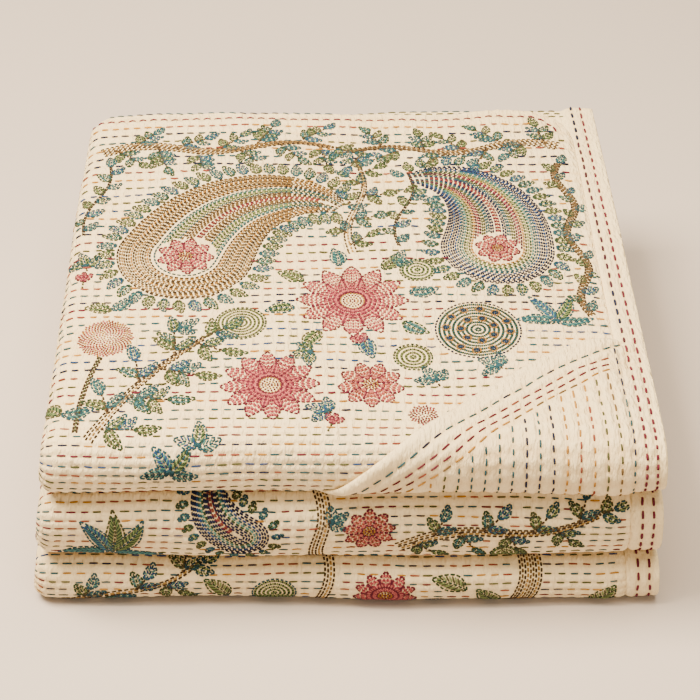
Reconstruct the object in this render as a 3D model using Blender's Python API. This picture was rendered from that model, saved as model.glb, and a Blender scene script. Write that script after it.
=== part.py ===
"""A kantha quilt, folded in half twice across and then back and forth into three thick folds.

The quilt is one sheet of stitched cotton.  Across its width it makes four plies: the first and
fourth are joined round the left edge, the second and third are joined inside them, the third and
fourth are joined by a fold at the right, and the first and second end there in hems.  This pack
of plies then runs back and forth in six passes, which gives three folds at the front, two at the
back, and free ends at the back of the top and bottom passes.  A corner of the border is turned
over the top ply at the front right.

Every point is placed by how far across it is, how deep it lies in the pack (0 at the face of the
first ply, 1 at the face of the fourth) and where it is along the run of the pack.  The origin is
at the middle of the bottom.
"""

import math

import bpy

# Driving sizes, in metres.
PACK_WIDTH = 0.385          # across the top pass, hem to fold
PASS_GAP = 0.0014           # air between two passes
PLY_GAP = 0.045             # air between two plies, as a share of the pack's thickness
PLY = (1 - 3 * PLY_GAP) / 4  # a ply, as a share of the pack's thickness
SIDE_RADIUS = 0.0112        # how far the outer side bend stands out
SIDE_PLY = 0.0049           # the outer ply's thickness round that bend
INNER_AIR = 0.0005          # half the air inside the inner side bend
FIRST_HEM_INSET = 0.0205    # the first ply's hem, from the pack's right edge
RIGHT_FOLD_INSET = 0.0025   # the fold of plies three and four, from the pack's right edge
RIGHT_FOLD_RADIUS = 0.0056
NOSE_FULLNESS = 2.3         # 2 is an ellipse, more is squarer
ROW_DEPTH = 0.0009          # how far a stitched row is drawn in below the cloth beside it
HEM_LENGTHS = (0.0, 0.0025, 0.009)   # stations near a free end
HEM_FULLNESS = (0.42, 0.86, 1.0)     # the ply's thickness at each
SHORTEST_FINE = 0.03        # the share of a run that is long enough for fine steps
HEM_THINNING = 0.72         # the thickness of the two hems at the right

# The passes, from the top down: thickness of the pack, and the place of the pass's back end.
PASSES = (
    ("top", 0.02170, 0.1925),
    ("second", 0.02170, 0.1720),
    ("third", 0.02760, 0.1720),
    ("fourth", 0.02760, 0.1695),
    ("fifth", 0.01820, 0.1695),
    ("bottom", 0.01820, 0.1820),
)
# The bends at the front, from the top down: the place of the front, and how far the nose stands out.
FRONT_BENDS = (
    ("top fold", -0.1925, 0.0200),
    ("middle fold", -0.1945, 0.0210),
    ("bottom fold", -0.1940, 0.0182),
)
BACK_BENDS = (
    ("upper back bend", 0.1900, 0.0180),
    ("lower back bend", 0.1870, 0.0175),
)
# Stations along each kind of run, and the fine steps between them on the visible face: a stitched
# row lies at every second step.
TOP_STATIONS, TOP_STEPS = 14, 6
FRONT_STATIONS, FRONT_STEPS = 5, 4
HIDDEN_STATIONS, BACK_STATIONS = 4, 6

# How the finished pile is out of true.
FLARE = 0.072               # how much wider the lowest fold is than the top
LEAN = 0.0034               # how far the lowest fold lies to the left of the top
CENTRE = (-0.0028, 0.0008)  # brings the middle of the bottom to the origin
SIDE_DROOP, END_DROOP = 0.014, 0.010
CORNER_DROOP = 0.050        # how much more the back left corner sinks
# How far back the pack's back end lies: across, and how far.
END_SHIFT = (
    (-0.1925, -0.0010),
    (-0.1000, -0.0010),
    (-0.0100, -0.0020),
    (0.0450, 0.0010),
    (0.1250, 0.0015),
    (0.1650, 0.0042),
)
WAVE = 0.0013               # the folds' fronts and backs, in and out
# The parts of that wave: strength, turn for each metre across, turn for each metre up, start.
WAVES = (
    (1.0, 17.0, 40.0, 0.0),
    (0.6, 37.0, -55.0, 1.0),
)
SWELL = 0.0009              # the top, up and down
# The parts of that swell: strength, turn for each metre across, turn for each metre along, start.
SWELLS = (
    (0.5, 31.0, 23.0, 0.3),
    (0.5, 31.0, -23.0, 1.1),
    (0.7, 19.0, -29.0, 0.0),
)
CORNER_RADIUS = 0.017       # the rounded back left corner
CORNER_DRAW, CORNER_FADE = 0.8, 6   # how much of it shows, and how fast it fades to the right
# The top ply's back hem, drawn in from the end of the plies below: across, and how far.
BACK_HEM = (
    (-0.1925, 0.0010),
    (-0.1000, 0.0065),
    (-0.0100, 0.0065),
    (0.0350, 0.0110),
    (0.0700, 0.0138),
    (0.1250, 0.0060),
)
HEM_CORNER_RADIUS = 0.040   # the rounded right end of that hem
HEM_REACH = 0.100           # how far forward the cloth is drawn by its hem
HEM_EDGE = 0.0005           # the first hem's tip still counts as the top ply

# The corner turned over the top ply: its edge, by the share of the front bend or the place on top.
CORNER_STATIONS = (
    ("bend", 0.93, -0.0270),
    ("bend", 0.80, -0.0200),
    ("bend", 0.66, -0.0110),
    ("bend", 0.50, 0.0020),
    ("bend", 0.34, 0.0160),
    ("bend", 0.18, 0.0280),
    ("bend", 0.00, 0.0425),
    ("top", -0.1560, 0.0625),
    ("top", -0.1430, 0.0780),
    ("top", -0.1300, 0.0945),
    ("top", -0.1180, 0.1100),
    ("top", -0.1080, 0.1245),
    ("top", -0.1000, 0.1370),
    ("top", -0.0920, 0.1505),
    ("top", -0.0840, 0.1660),
)
# Its section from the free edge inwards: distance, top above the cloth, underside above the cloth.
CORNER_SECTION = (
    (0.0000, 0.0024, 0.0013),
    (0.0018, 0.0038, 0.0010),
    (0.0055, 0.0044, 0.0009),
    (0.0095, 0.0034, 0.0007),
    (0.0130, 0.0038, -0.0006),
    (0.0180, 0.0036, -0.0015),
)
CORNER_COLUMNS = 7          # further columns, up to the border
CORNER_RIGHT = 0.1885
CORNER_SLOPE = 0.030        # the width over which it comes down into the border
CORNER_TOP_DEPTH, CORNER_BASE_DEPTH = -0.0022, -0.0042
TUCK_START, TUCK_LENGTH = 0.60, 0.33   # the share of the front bend over which it sinks into the cloth
TUCK_TOP, TUCK_BASE = -0.0012, -0.0030


def blend(start, end, share):
    """The value part of the way from one number to another."""
    return start + (end - start) * share


def between(table, place):
    """A value read from rows of (place, value), with a smooth curve between the rows."""
    if place <= table[0][0]:
        return table[0][1]
    for (left, low), (right, high) in zip(table, table[1:]):
        if place <= right:
            share = (place - left) / (right - left)
            return blend(low, high, share * share * (3 - 2 * share))
    return table[-1][1]


def pass_levels():
    """The bottom and top of each pass, in the order of PASSES."""
    levels, floor = [], 0.0
    for _, thickness, _ in reversed(PASSES):
        levels.append((floor, floor + thickness))
        floor += thickness + PASS_GAP
    return levels[::-1]


LEVELS = pass_levels()
HEIGHT = LEVELS[0][1]


def straight_run(start, end, face, back):
    """A pass, from one place along Y to another: its face side and its back side."""
    def sides(share):
        place = blend(start, end, share)
        return (place, face), (place, back)
    return sides


def bend_run(centre, reach, up, down, face_outside):
    """A turn from one pass down to the next; a negative reach turns at the front."""
    centre_y, centre_z = centre
    radius = PASS_GAP / 2
    side = math.copysign(1, reach)

    def sides(share):
        turn = math.pi * share
        out, rise = math.sin(turn), math.cos(turn)
        power = 2 / NOSE_FULLNESS
        tall = up if rise > 0 else down
        outer = (
            centre_y + reach * max(out, 0) ** power,
            centre_z + tall * math.copysign(abs(rise) ** power, rise),
        )
        inner = (centre_y + side * radius * out, centre_z + radius * rise)
        return (outer, inner) if face_outside else (inner, outer)
    return sides


def front_edge(index):
    """Where the straight part of the passes meets a front bend."""
    _, front, reach = FRONT_BENDS[index // 2]
    return front + reach


def runs():
    """The runs of the pack from the top pass's free end to the bottom pass's free end.

    Each is (sides, shares of its stations, fine steps between them).
    """
    found = []
    for index, (_, _, back_end) in enumerate(PASSES):
        low, high = LEVELS[index]
        going_forward = index % 2 == 0
        face, back = (high, low) if going_forward else (low, high)
        start, end = back_end, front_edge(index)
        if not going_forward:
            start, end = end, start
        count = TOP_STATIONS if index == 0 else HIDDEN_STATIONS
        shares = [step / count for step in range(count)]
        if index > 0:
            shares = [(1 - math.cos(math.pi * share)) / 2 for share in shares]
        length = abs(end - start)
        if index == 0:
            shares = [reach / length for reach in HEM_LENGTHS] + shares[1:]
        if index == len(PASSES) - 1:
            shares += [1 - reach / length for reach in reversed(HEM_LENGTHS)]
        fine = TOP_STEPS if index == 0 else 1
        found.append((straight_run(start, end, face, back), shares, fine))
        if index == len(PASSES) - 1:
            break
        below = LEVELS[index + 1]
        centre_z = (low + below[1]) / 2
        up, down = high - centre_z, centre_z - below[0]
        if going_forward:
            _, _, reach = FRONT_BENDS[index // 2]
            count, fine = FRONT_STATIONS, FRONT_STEPS
            sides = bend_run((end, centre_z), -reach, up, down, True)
        else:
            _, _, reach = BACK_BENDS[index // 2]
            count, fine = BACK_STATIONS, 1
            sides = bend_run((end, centre_z), reach, up, down, False)
        found.append((sides, [step / count for step in range(count)], fine))
    return found


def stations():
    """Each station's list of (face side, back side), one for each fine step up to the next."""
    found = []
    for sides, shares, fine in runs():
        ends = shares[1:] + [1.0]
        for share, end in zip(shares, ends):
            if end - share < 1e-6:
                found.append([sides(1.0)])
                break
            steps = fine if end - share > SHORTEST_FINE else 1
            found.append([sides(blend(share, end, step / steps)) for step in range(steps)])
    return found


def fullness_at(index, count):
    """The ply's share of its full thickness, less near the free ends."""
    from_end = min(index, count - 1 - index)
    return HEM_FULLNESS[from_end] if from_end < len(HEM_FULLNESS) else 1.0


HALF = PACK_WIDTH / 2
LEFT = SIDE_RADIUS - HALF
HEM = HALF - FIRST_HEM_INSET
RIGHT = HALF - RIGHT_FOLD_INSET - RIGHT_FOLD_RADIUS
FIRST, SECOND, THIRD, FOURTH = (PLY / 2 + number * (PLY + PLY_GAP) for number in range(4))
BORDER_SECOND = 0.150       # past the first hem the plies below swell up to the face
BORDER_THIRD = 0.430
# The sheet's middle line, from the first ply's hem to the second's.  Columns: place across, depth
# in the pack, and whether the back side keeps the place too.
FIRST_PLY = (
    (HEM - 0.003, FIRST, True),
    (HEM - 0.012, FIRST, False),
    (0.142, FIRST, False),
    (0.115, FIRST, False),
    (0.060, FIRST, False),
    (0.000, FIRST, True),
    (-0.075, FIRST, False),
    (-0.140, FIRST, False),
    (LEFT, FIRST, True),
)
FOURTH_PLY = (
    (LEFT, FOURTH, True),
    (0.000, FOURTH, True),
    (RIGHT, FOURTH, True),
)
THIRD_PLY = (
    (RIGHT, BORDER_THIRD, True),
    (HEM - 0.004, THIRD, True),
    (0.000, THIRD, True),
    (LEFT, THIRD, True),
)
SECOND_PLY = (
    (LEFT, SECOND, True),
    (0.000, SECOND, True),
    (HEM - 0.004, SECOND, True),
    (HEM + 0.004, BORDER_SECOND, True),
    (HALF - 0.0025, BORDER_SECOND + 0.010, True),
)
SIDE_STEPS, INNER_STEPS, RIGHT_STEPS = 5, 3, 3
FINE_LINES = 12             # face points with fine steps, from the first hem round the left bend


def ply(rows, facing, fullness):
    """A flat ply's (face point, back point) pairs; facing is 1 where its face side is up."""
    half = facing * PLY * fullness / 2
    found = []
    for across, level, keeps_back in rows:
        found.append(((across, level - half), (across, level + half) if keeps_back else None))
    return found


def side_fold(centre, levels, reach, steps, side, facing, fullness):
    """The fold from one ply to another, at the left (side -1) or the right (side 1)."""
    middle = sum(levels) / 2
    deep = (levels[1] - levels[0]) / 2
    found = []
    for step in range(1, steps):
        angle = math.pi * step / steps
        pair = []
        for out in (facing, -facing):
            wide = reach + out * SIDE_PLY * fullness / 2
            tall = deep + math.copysign(out * PLY * fullness / 2, out * deep)
            pair.append((centre + side * wide * math.sin(angle), middle - tall * math.cos(angle)))
        found.append(tuple(pair))
    return found


def sheet_line(fullness):
    """The whole sheet at one station, as (face point, back point); some have no back point."""
    outer_reach = SIDE_RADIUS - SIDE_PLY / 2
    inner_reach = SIDE_PLY / 2 + INNER_AIR
    right_reach = RIGHT_FOLD_RADIUS - SIDE_PLY / 2
    found = ply(FIRST_PLY, 1, fullness)
    found += side_fold(LEFT, (FIRST, FOURTH), outer_reach, SIDE_STEPS, -1, 1, fullness)
    found += ply(FOURTH_PLY, -1, fullness)
    found += side_fold(RIGHT, (FOURTH, BORDER_THIRD), right_reach, RIGHT_STEPS, 1, 1, fullness)
    found += ply(THIRD_PLY, 1, fullness)
    found += side_fold(LEFT, (THIRD, SECOND), inner_reach, INNER_STEPS, -1, -1, fullness)
    found += ply(SECOND_PLY, -1, fullness)
    return found


def thinned(face_point, back_point, share):
    """A pair of points brought towards each other, for a pressed hem."""
    middle = (face_point[1] + back_point[1]) / 2
    return tuple((point[0], blend(middle, point[1], share)) for point in (face_point, back_point))


def profile(fullness):
    """The closed outline of the four plies, and for each cap the outline's places it joins."""
    line = sheet_line(fullness)
    face = [pair[0] for pair in line]
    back_places = [place for place, pair in enumerate(line) if pair[1] is not None]
    back = [line[place][1] for place in back_places]
    face[0], back[0] = thinned(face[0], back[0], HEM_THINNING)
    face[-1], back[-1] = thinned(face[-1], back[-1], HEM_THINNING)
    first_tip = (HEM, (face[0][1] + back[0][1]) / 2)
    second_tip = (HALF, (face[-1][1] + back[-1][1]) / 2)
    outline = face + [second_tip] + back[::-1] + [first_tip]
    place_of_back = {place: len(outline) - 2 - number for number, place in enumerate(back_places)}
    caps = [[len(outline) - 1, 0, place_of_back[0]]]
    for near, far in zip(back_places, back_places[1:]):
        caps.append(list(range(near, far + 1)) + [place_of_back[far], place_of_back[near]])
    last = len(face) - 1
    caps.append([last, last + 1, last + 2])
    return outline, caps


def out_of_true(across, along, height):
    """Moves a point of the true pile to where the soft, uneven cloth lies."""
    share = height / HEIGHT
    wide = across * (1 + FLARE * (1 - share))
    corner = along - (PASSES[0][2] - CORNER_RADIUS)
    if corner > 0:
        drawn = CORNER_RADIUS - math.sqrt(max(CORNER_RADIUS ** 2 - min(corner, CORNER_RADIUS) ** 2, 0))
        wide += CORNER_DRAW * drawn * ((HALF - across) / PACK_WIDTH) ** CORNER_FADE
    wide -= LEAN * (1 - share)
    wave = sum(much * math.sin(turn * across + rise * height + start) for much, turn, rise, start in WAVES)
    near_end = max(0.0, along / PASSES[0][2]) ** 4
    long = along + WAVE * wave * (along / PASSES[0][2]) + between(END_SHIFT, across) * near_end
    droop = SIDE_DROOP * (across / HALF) ** 4 + END_DROOP * (along / PASSES[0][2]) ** 4
    droop += CORNER_DROOP * max(0.0, -across / HALF) ** 4 * near_end
    swell = sum(much * math.sin(turn * across + run * along + start) for much, turn, run, start in SWELLS)
    return wide - CENTRE[0], long - CENTRE[1], height * (1 - droop + SWELL / HEIGHT * swell)


def placed(point, sides, drawn_in=0.0):
    """A profile point at a station, drawn in by a stitched row if that is given."""
    across, depth = point
    (face_y, face_z), (back_y, back_z) = sides
    length = math.hypot(back_y - face_y, back_z - face_z)
    depth += drawn_in / length
    along = blend(face_y, back_y, depth)
    height = blend(face_z, back_z, depth)
    on_top = height > LEVELS[0][0] - PASS_GAP and depth < PLY + PLY_GAP / 2 and across < HEM + HEM_EDGE
    if on_top:
        near_end = max(0.0, 1 - (PASSES[0][2] - along) / HEM_REACH)
        past = min(max(across - HEM + HEM_CORNER_RADIUS, 0), HEM_CORNER_RADIUS)
        rounding = HEM_CORNER_RADIUS - math.sqrt(HEM_CORNER_RADIUS ** 2 - past ** 2)
        along -= (between(BACK_HEM, across) + rounding) * near_end ** 2
    return out_of_true(across, along, height)


def add_object(name, points, faces, material=None):
    """A new object from points and faces, with its faces turned outwards."""
    mesh = bpy.data.meshes.new(name)
    mesh.from_pydata(points, [], faces)
    mesh.validate()
    made = bpy.data.objects.new(name, mesh)
    bpy.context.scene.collection.objects.link(made)
    bpy.context.view_layer.objects.active = made
    made.select_set(True)
    bpy.ops.object.mode_set(mode="EDIT")
    bpy.ops.mesh.select_all(action="SELECT")
    bpy.ops.mesh.normals_make_consistent(inside=False)
    bpy.ops.object.mode_set(mode="OBJECT")
    made.select_set(False)
    if material:
        mesh.materials.append(material)
    return made


def pack_of_plies(material):
    """The whole folded sheet, but for the turned corner."""
    path = stations()
    count = len(path)
    points, faces, lines = [], [], []
    for index, steps in enumerate(path):
        outline, caps = profile(fullness_at(index, count))
        fine_places = [len(outline) - 1] + list(range(FINE_LINES))
        row = []
        for place, point in enumerate(outline):
            run = steps if place in fine_places else steps[:1]
            inner = place in fine_places[1:-1]
            numbers = []
            for step, sides in enumerate(run):
                drawn_in = ROW_DEPTH if inner and len(run) > 1 and step % 2 == 1 else 0.0
                numbers.append(len(points))
                points.append(placed(point, sides, drawn_in))
            row.append(numbers)
        lines.append(row)
        if index in (0, count - 1):
            for cap in caps:
                faces.append([row[place][0] for place in cap])
    size = len(lines[0])
    for here, there in zip(lines, lines[1:]):
        for place in range(size):
            left = here[place] + there[place][:1]
            following = (place + 1) % size
            right = here[following] + there[following][:1]
            if len(left) == len(right):
                for step in range(len(left) - 1):
                    faces.append([left[step], left[step + 1], right[step + 1], right[step]])
            else:
                faces.append(left + right[::-1])
    return add_object("quilt", points, faces, material)


def turned_corner(material):
    """The corner of the border that lies over the top ply, running down into the border."""
    low, high = LEVELS[0]
    centre_z = (low + LEVELS[1][1]) / 2
    _, front, reach = FRONT_BENDS[0]
    over_nose = bend_run((front + reach, centre_z), -reach, high - centre_z, centre_z - LEVELS[1][0], True)
    on_top = straight_run(0.0, 1.0, high, low)
    points, grid = [], []
    for kind, place, edge in CORNER_STATIONS:
        sides = over_nose(place) if kind == "bend" else on_top(place)
        columns = [(edge + section[0], section[1], section[2]) for section in CORNER_SECTION]
        start, top, base = columns[-1]
        for column in range(1, CORNER_COLUMNS + 1):
            columns.append((blend(start, CORNER_RIGHT, column / CORNER_COLUMNS), top, base))
        row = []
        for across, top, base in columns:
            down = min(max((across - CORNER_RIGHT + CORNER_SLOPE) / CORNER_SLOPE, 0), 1)
            down = down * down * (3 - 2 * down)
            top = blend(top, CORNER_TOP_DEPTH, down)
            base = blend(base, CORNER_BASE_DEPTH, down)
            if kind == "bend":
                tuck = min(max((place - TUCK_START) / TUCK_LENGTH, 0), 1) ** 2
                top = blend(top, TUCK_TOP, tuck)
                base = blend(base, TUCK_BASE, tuck)
            (face_y, face_z), (back_y, back_z) = sides
            length = math.hypot(back_y - face_y, back_z - face_z)
            pair = []
            for offset in (top, base):
                pair.append(len(points))
                points.append(placed((across, -offset / length), sides))
            row.append(pair)
        grid.append(row)
    faces = []
    for side in (0, 1):
        for near, far in zip(grid, grid[1:]):
            for left, right in zip(range(len(near)), range(1, len(near))):
                faces.append([near[left][side], near[right][side], far[right][side], far[left][side]])
    for row in (grid[0], grid[-1]):
        for left, right in zip(row, row[1:]):
            faces.append([left[0], right[0], right[1], left[1]])
    for column in (0, -1):
        for near, far in zip(grid, grid[1:]):
            faces.append([near[column][0], far[column][0], far[column][1], near[column][1]])
    return add_object("corner", points, faces, material)


def cotton():
    """Warm cream cotton."""
    material = bpy.data.materials.new("cream cotton")
    material.use_nodes = True
    shader = material.node_tree.nodes["Principled BSDF"]
    shader.inputs["Base Color"].default_value = (0.80, 0.70, 0.56, 1.0)
    shader.inputs["Roughness"].default_value = 0.9
    shader.inputs["Metallic"].default_value = 0.0
    return material


def main():
    """Builds the quilt as one body."""
    for old in list(bpy.data.objects):
        bpy.data.objects.remove(old)
    material = cotton()
    quilt = pack_of_plies(material)
    corner = turned_corner(material)
    joined = quilt.modifiers.new("turned corner", "BOOLEAN")
    joined.operation = "UNION"
    joined.solver = "EXACT"
    joined.object = corner
    corner.hide_render = True
    corner.display_type = "WIRE"


main()
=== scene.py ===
"""Dresses a folded kantha quilt: stitched cotton, running stitch, embroidery and a plain studio.

A place on the cloth is (across, along), both in metres.  Across is measured on the top ply from
the middle of the pack, and runs on round the left bend.  Along is measured on the face of the
pack from the back end of the top pass, over each front fold in turn.
"""

import math

import bpy
import numpy as np
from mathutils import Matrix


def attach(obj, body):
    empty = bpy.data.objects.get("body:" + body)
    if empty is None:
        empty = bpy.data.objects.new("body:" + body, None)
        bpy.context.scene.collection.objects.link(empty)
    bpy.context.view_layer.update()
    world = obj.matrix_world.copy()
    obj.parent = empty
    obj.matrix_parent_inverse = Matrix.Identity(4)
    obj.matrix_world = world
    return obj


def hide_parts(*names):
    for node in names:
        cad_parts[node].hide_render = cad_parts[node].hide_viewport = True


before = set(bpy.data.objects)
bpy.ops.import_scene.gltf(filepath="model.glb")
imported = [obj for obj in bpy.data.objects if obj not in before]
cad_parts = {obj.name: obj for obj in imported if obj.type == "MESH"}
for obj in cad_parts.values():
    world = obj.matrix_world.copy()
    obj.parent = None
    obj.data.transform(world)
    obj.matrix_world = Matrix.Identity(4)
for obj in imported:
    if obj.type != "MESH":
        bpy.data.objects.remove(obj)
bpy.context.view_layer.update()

# ---------------------------------------------------------------------------------------------
# The folded pack, in metres: the same driving sizes as the solid.
# ---------------------------------------------------------------------------------------------

PACK_WIDTH = 0.385
PASS_GAP = 0.0014
PLY_GAP = 0.045             # air between two plies, as a share of the pack's thickness
PLY = (1 - 3 * PLY_GAP) / 4
SIDE_RADIUS, SIDE_PLY = 0.0112, 0.0049
INNER_AIR = 0.0005
FIRST_HEM_INSET = 0.0205
RIGHT_FOLD_INSET, RIGHT_FOLD_RADIUS = 0.0025, 0.0056
NOSE_FULLNESS = 2.3         # 2 is a round bend, more is a fuller one
# The passes from the top down: thickness, back end.
PASSES = (
    (0.02170, 0.1925),
    (0.02170, 0.1720),
    (0.02760, 0.1720),
    (0.02760, 0.1695),
    (0.01820, 0.1695),
    (0.01820, 0.1820),
)
FRONT_BENDS = ((-0.1925, 0.0200), (-0.1945, 0.0210), (-0.1940, 0.0182))   # front, reach
BACK_REACHES = (0.0180, 0.0175)
FLARE, LEAN = 0.072, 0.0034             # how much wider the foot is, and how far it stands to the left
CENTRE = (-0.0028, 0.0008)              # the middle of the pack's box before it is moved to the origin
SIDE_DROOP, END_DROOP = 0.014, 0.010
CORNER_DROOP = 0.050        # of the back left corner alone
END_SHIFT = (               # across, and how far the back end lies from true there
    (-0.1925, -0.0010),
    (-0.1000, -0.0010),
    (-0.0100, -0.0020),
    (0.0450, 0.0010),
    (0.1250, 0.0015),
    (0.1650, 0.0042),
)
# The unevenness: how much, how it turns across the pack, and with the height or along, and its start.
WAVE = 0.0013
WAVES = ((1.0, 17.0, 40.0, 0.0), (0.6, 37.0, -55.0, 1.0))
SWELL = 0.0009
SWELLS = ((0.5, 31.0, 23.0, 0.3), (0.5, 31.0, -23.0, 1.1), (0.7, 19.0, -29.0, 0.0))
CORNER_RADIUS = 0.017       # of the back left corner, seen from above
CORNER_DRAW, CORNER_FADE = 0.8, 6
BACK_HEM = (                # across, and how far the first ply's hem lies from the back end there
    (-0.1925, 0.0010),
    (-0.1000, 0.0065),
    (-0.0100, 0.0065),
    (0.0350, 0.0110),
    (0.0700, 0.0138),
    (0.1250, 0.0060),
)
HEM_CORNER_RADIUS, HEM_REACH = 0.040, 0.100
BORDER_SECOND, BORDER_THIRD = 0.150, 0.430     # how deep in the pack the border's plies lie
# The turned corner's free edge: the share of the front bend or the place on top, and across.
CORNER_EDGE = (
    ("bend", 0.93, -0.0270),
    ("bend", 0.80, -0.0200),
    ("bend", 0.66, -0.0110),
    ("bend", 0.50, 0.0020),
    ("bend", 0.34, 0.0160),
    ("bend", 0.18, 0.0280),
    ("bend", 0.00, 0.0425),
    ("top", -0.1560, 0.0625),
    ("top", -0.1430, 0.0780),
    ("top", -0.1300, 0.0945),
    ("top", -0.1180, 0.1100),
    ("top", -0.1080, 0.1245),
    ("top", -0.1000, 0.1370),
    ("top", -0.0920, 0.1505),
    ("top", -0.0840, 0.1660),
)

HALF = PACK_WIDTH / 2
LEFT = SIDE_RADIUS - HALF
HEM = HALF - FIRST_HEM_INSET
RIGHT = HALF - RIGHT_FOLD_INSET - RIGHT_FOLD_RADIUS
FIRST, SECOND, THIRD, FOURTH = (PLY / 2 + number * (PLY + PLY_GAP) for number in range(4))
BACK = PASSES[0][1]
LEFT_TURN = math.pi * SIDE_RADIUS       # how far the sheet runs round the left bend
LEFT_TURNED = LEFT - LEFT_TURN
LEFT_ROW_END = LEFT - LEFT_TURN * 0.92  # how far round it the rows are sewn

# How fine the cloth's own mesh is.
COLUMN = 0.00205            # across the face
COARSE_EVERY = 19           # face columns that run on into the hidden passes
ROW_SAMPLES = 5             # stations from one stitched row to the next
NOSE_PITCH = 0.0065         # rows on the front and back bends
HIDDEN_ROWS = 40            # rows along each hidden pass, seen only at its left bend
TABLE_SAMPLES = 400

# The stitched rows of the top pass: how far along, and the pitch up to there.
FIRST_ROW = 0.0110
ROW_PITCHES = (
    (0.058, 0.0116),
    (0.105, 0.0103),
    (0.200, 0.0094),
    (0.290, 0.0074),
    (0.360, 0.0079),
    (0.600, NOSE_PITCH),
)
ROW_DEPTH = 0.0014          # a row's trough below the cloth beside it
TROUGH_SHARES, FLUTE_SHARES = (1.15, 0.80), (1.2, 0.75)      # on top, and on the folds
PUFF_FULLNESS = 0.62        # the less, the fuller the cloth stands between its rows
WIDEST_GAP = 0.02           # rows that are farther apart have no puff between them
MOTIF_FLATNESS = 0.78       # how far embroidery flattens the rows' relief
MOTIF_SINK = 0.00030
ROW_FADE = 0.004            # the length over which the relief ends at a hidden pass
RIPPLE = 0.00042            # the flutes that the stitches draw across the rows
SIDE_TROUGH = 0.00055       # the troughs round the left bend of the hidden passes
BACK_TROUGH = (-0.0008, -0.0002, 0.0, -0.0002)      # and on the reverse, from one row to the next
PERIOD = 0.0082             # one stitch and its gap
DASH = 0.0062
ROW_THREAD = 0.00160        # the rows' thread on top
FRONT_THREAD = 0.00112      # and on the folds
FLAP_THREAD = 0.00125
BORDER_THREAD = 0.00165
MOTIF_THREAD = 0.00136
HEM_LENGTH, HEM_END = 0.007, 0.15       # how far from its two ends the sheet thins, and to what share
HEM_ROUNDING = 0.0045       # how far in from a hem's edge the ply is rounded
HEM_PRESSED, HEM_PRESSED_WIDTH = 0.72, 0.014

FULL_TURN = 2 * math.pi

random = np.random.default_rng(11)


def blend(start, end, share):
    """The value part of the way from one number to another."""
    return start + (end - start) * share


def smooth(share):
    """A share from 0 to 1, eased at both ends."""
    share = np.clip(share, 0, 1)
    return share * share * (3 - 2 * share)


def between(table, place):
    """Values read from rows of (place, value), eased between the rows."""
    places = np.array([row[0] for row in table])
    values = np.array([row[1] for row in table])
    number = np.clip(np.searchsorted(places, place) - 1, 0, len(places) - 2)
    share = (place - places[number]) / (places[number + 1] - places[number])
    return blend(values[number], values[number + 1], smooth(share))


def lumps(across, along, cell, seed):
    """Soft random unevenness between -1 and 1, with one value for each cell of cloth."""
    lattice = np.random.default_rng(seed).uniform(-1, 1, (97, 89))
    column, row = across / cell + 40, along / cell + 3
    left, near = np.floor(column).astype(int), np.floor(row).astype(int)
    right_share, far_share = smooth(column - left), smooth(row - near)

    def value(columns, rows):
        return lattice[columns % 97, rows % 89]
    here = blend(value(left, near), value(left + 1, near), right_share)
    there = blend(value(left, near + 1), value(left + 1, near + 1), right_share)
    return blend(here, there, far_share)


# ---------------------------------------------------------------------------------------------
# The run of the pack: 0 to 1 is the top pass, 1 to 2 the first front bend, and so on down.
# ---------------------------------------------------------------------------------------------

def straight_run(start, end, face, back):
    """A pass: rows of (face y, face z, back y, back z)."""
    place = np.linspace(start, end, TABLE_SAMPLES + 1)
    flat = np.ones_like(place)
    return np.stack([place, face * flat, place, back * flat], 1)


def bend_run(centre_y, centre_z, reach, up, down, face_outside):
    """A turn from one pass down to the next."""
    turn = np.linspace(0, math.pi, TABLE_SAMPLES + 1)
    out, rise = np.sin(turn).clip(0), np.cos(turn)
    power = 2 / NOSE_FULLNESS
    tall = np.where(rise > 0, up, down)
    radius = PASS_GAP / 2
    outer = [centre_y + reach * out ** power, centre_z + tall * np.sign(rise) * np.abs(rise) ** power]
    inner = [centre_y + math.copysign(radius, reach) * out, centre_z + radius * rise]
    return np.stack(outer + inner if face_outside else inner + outer, 1)


def pass_levels():
    """The bottom and top of each pass."""
    levels, floor = [], 0.0
    for thickness, _ in reversed(PASSES):
        levels.append((floor, floor + thickness))
        floor += thickness + PASS_GAP
    return levels[::-1]


LEVELS = pass_levels()
HEIGHT = LEVELS[0][1]


def whole_run():
    """The run's sides, sampled all the way from the top pass's back end to the bottom pass's."""
    parts = []
    for index, (_, back_end) in enumerate(PASSES):
        low, high = LEVELS[index]
        front, reach = FRONT_BENDS[index // 2]
        forward = index % 2 == 0
        if forward:
            parts.append(straight_run(back_end, front + reach, high, low))
        else:
            parts.append(straight_run(front + reach, back_end, low, high))
        if index == len(PASSES) - 1:
            break
        below = LEVELS[index + 1]
        centre = (low + below[1]) / 2
        up, down = high - centre, centre - below[0]
        if forward:
            parts.append(bend_run(front + reach, centre, -reach, up, down, True))
        else:
            parts.append(bend_run(back_end, centre, BACK_REACHES[index // 2], up, down, False))
    return np.concatenate([parts[0]] + [part[1:] for part in parts[1:]])


SIDES = whole_run()
RUN = np.arange(len(SIDES)) / TABLE_SAMPLES
FACE_ALONG = np.concatenate([[0], np.cumsum(np.hypot(*np.diff(SIDES[:, :2], axis=0).T))])
BACK_ALONG = np.concatenate([[0], np.cumsum(np.hypot(*np.diff(SIDES[:, 2:], axis=0).T))])


def along_at(run):
    """How far along the face a place in the run is."""
    return np.interp(run, RUN, FACE_ALONG)


def back_along_at(run):
    """How far along the reverse a place in the run is."""
    return np.interp(run, RUN, BACK_ALONG)


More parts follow.
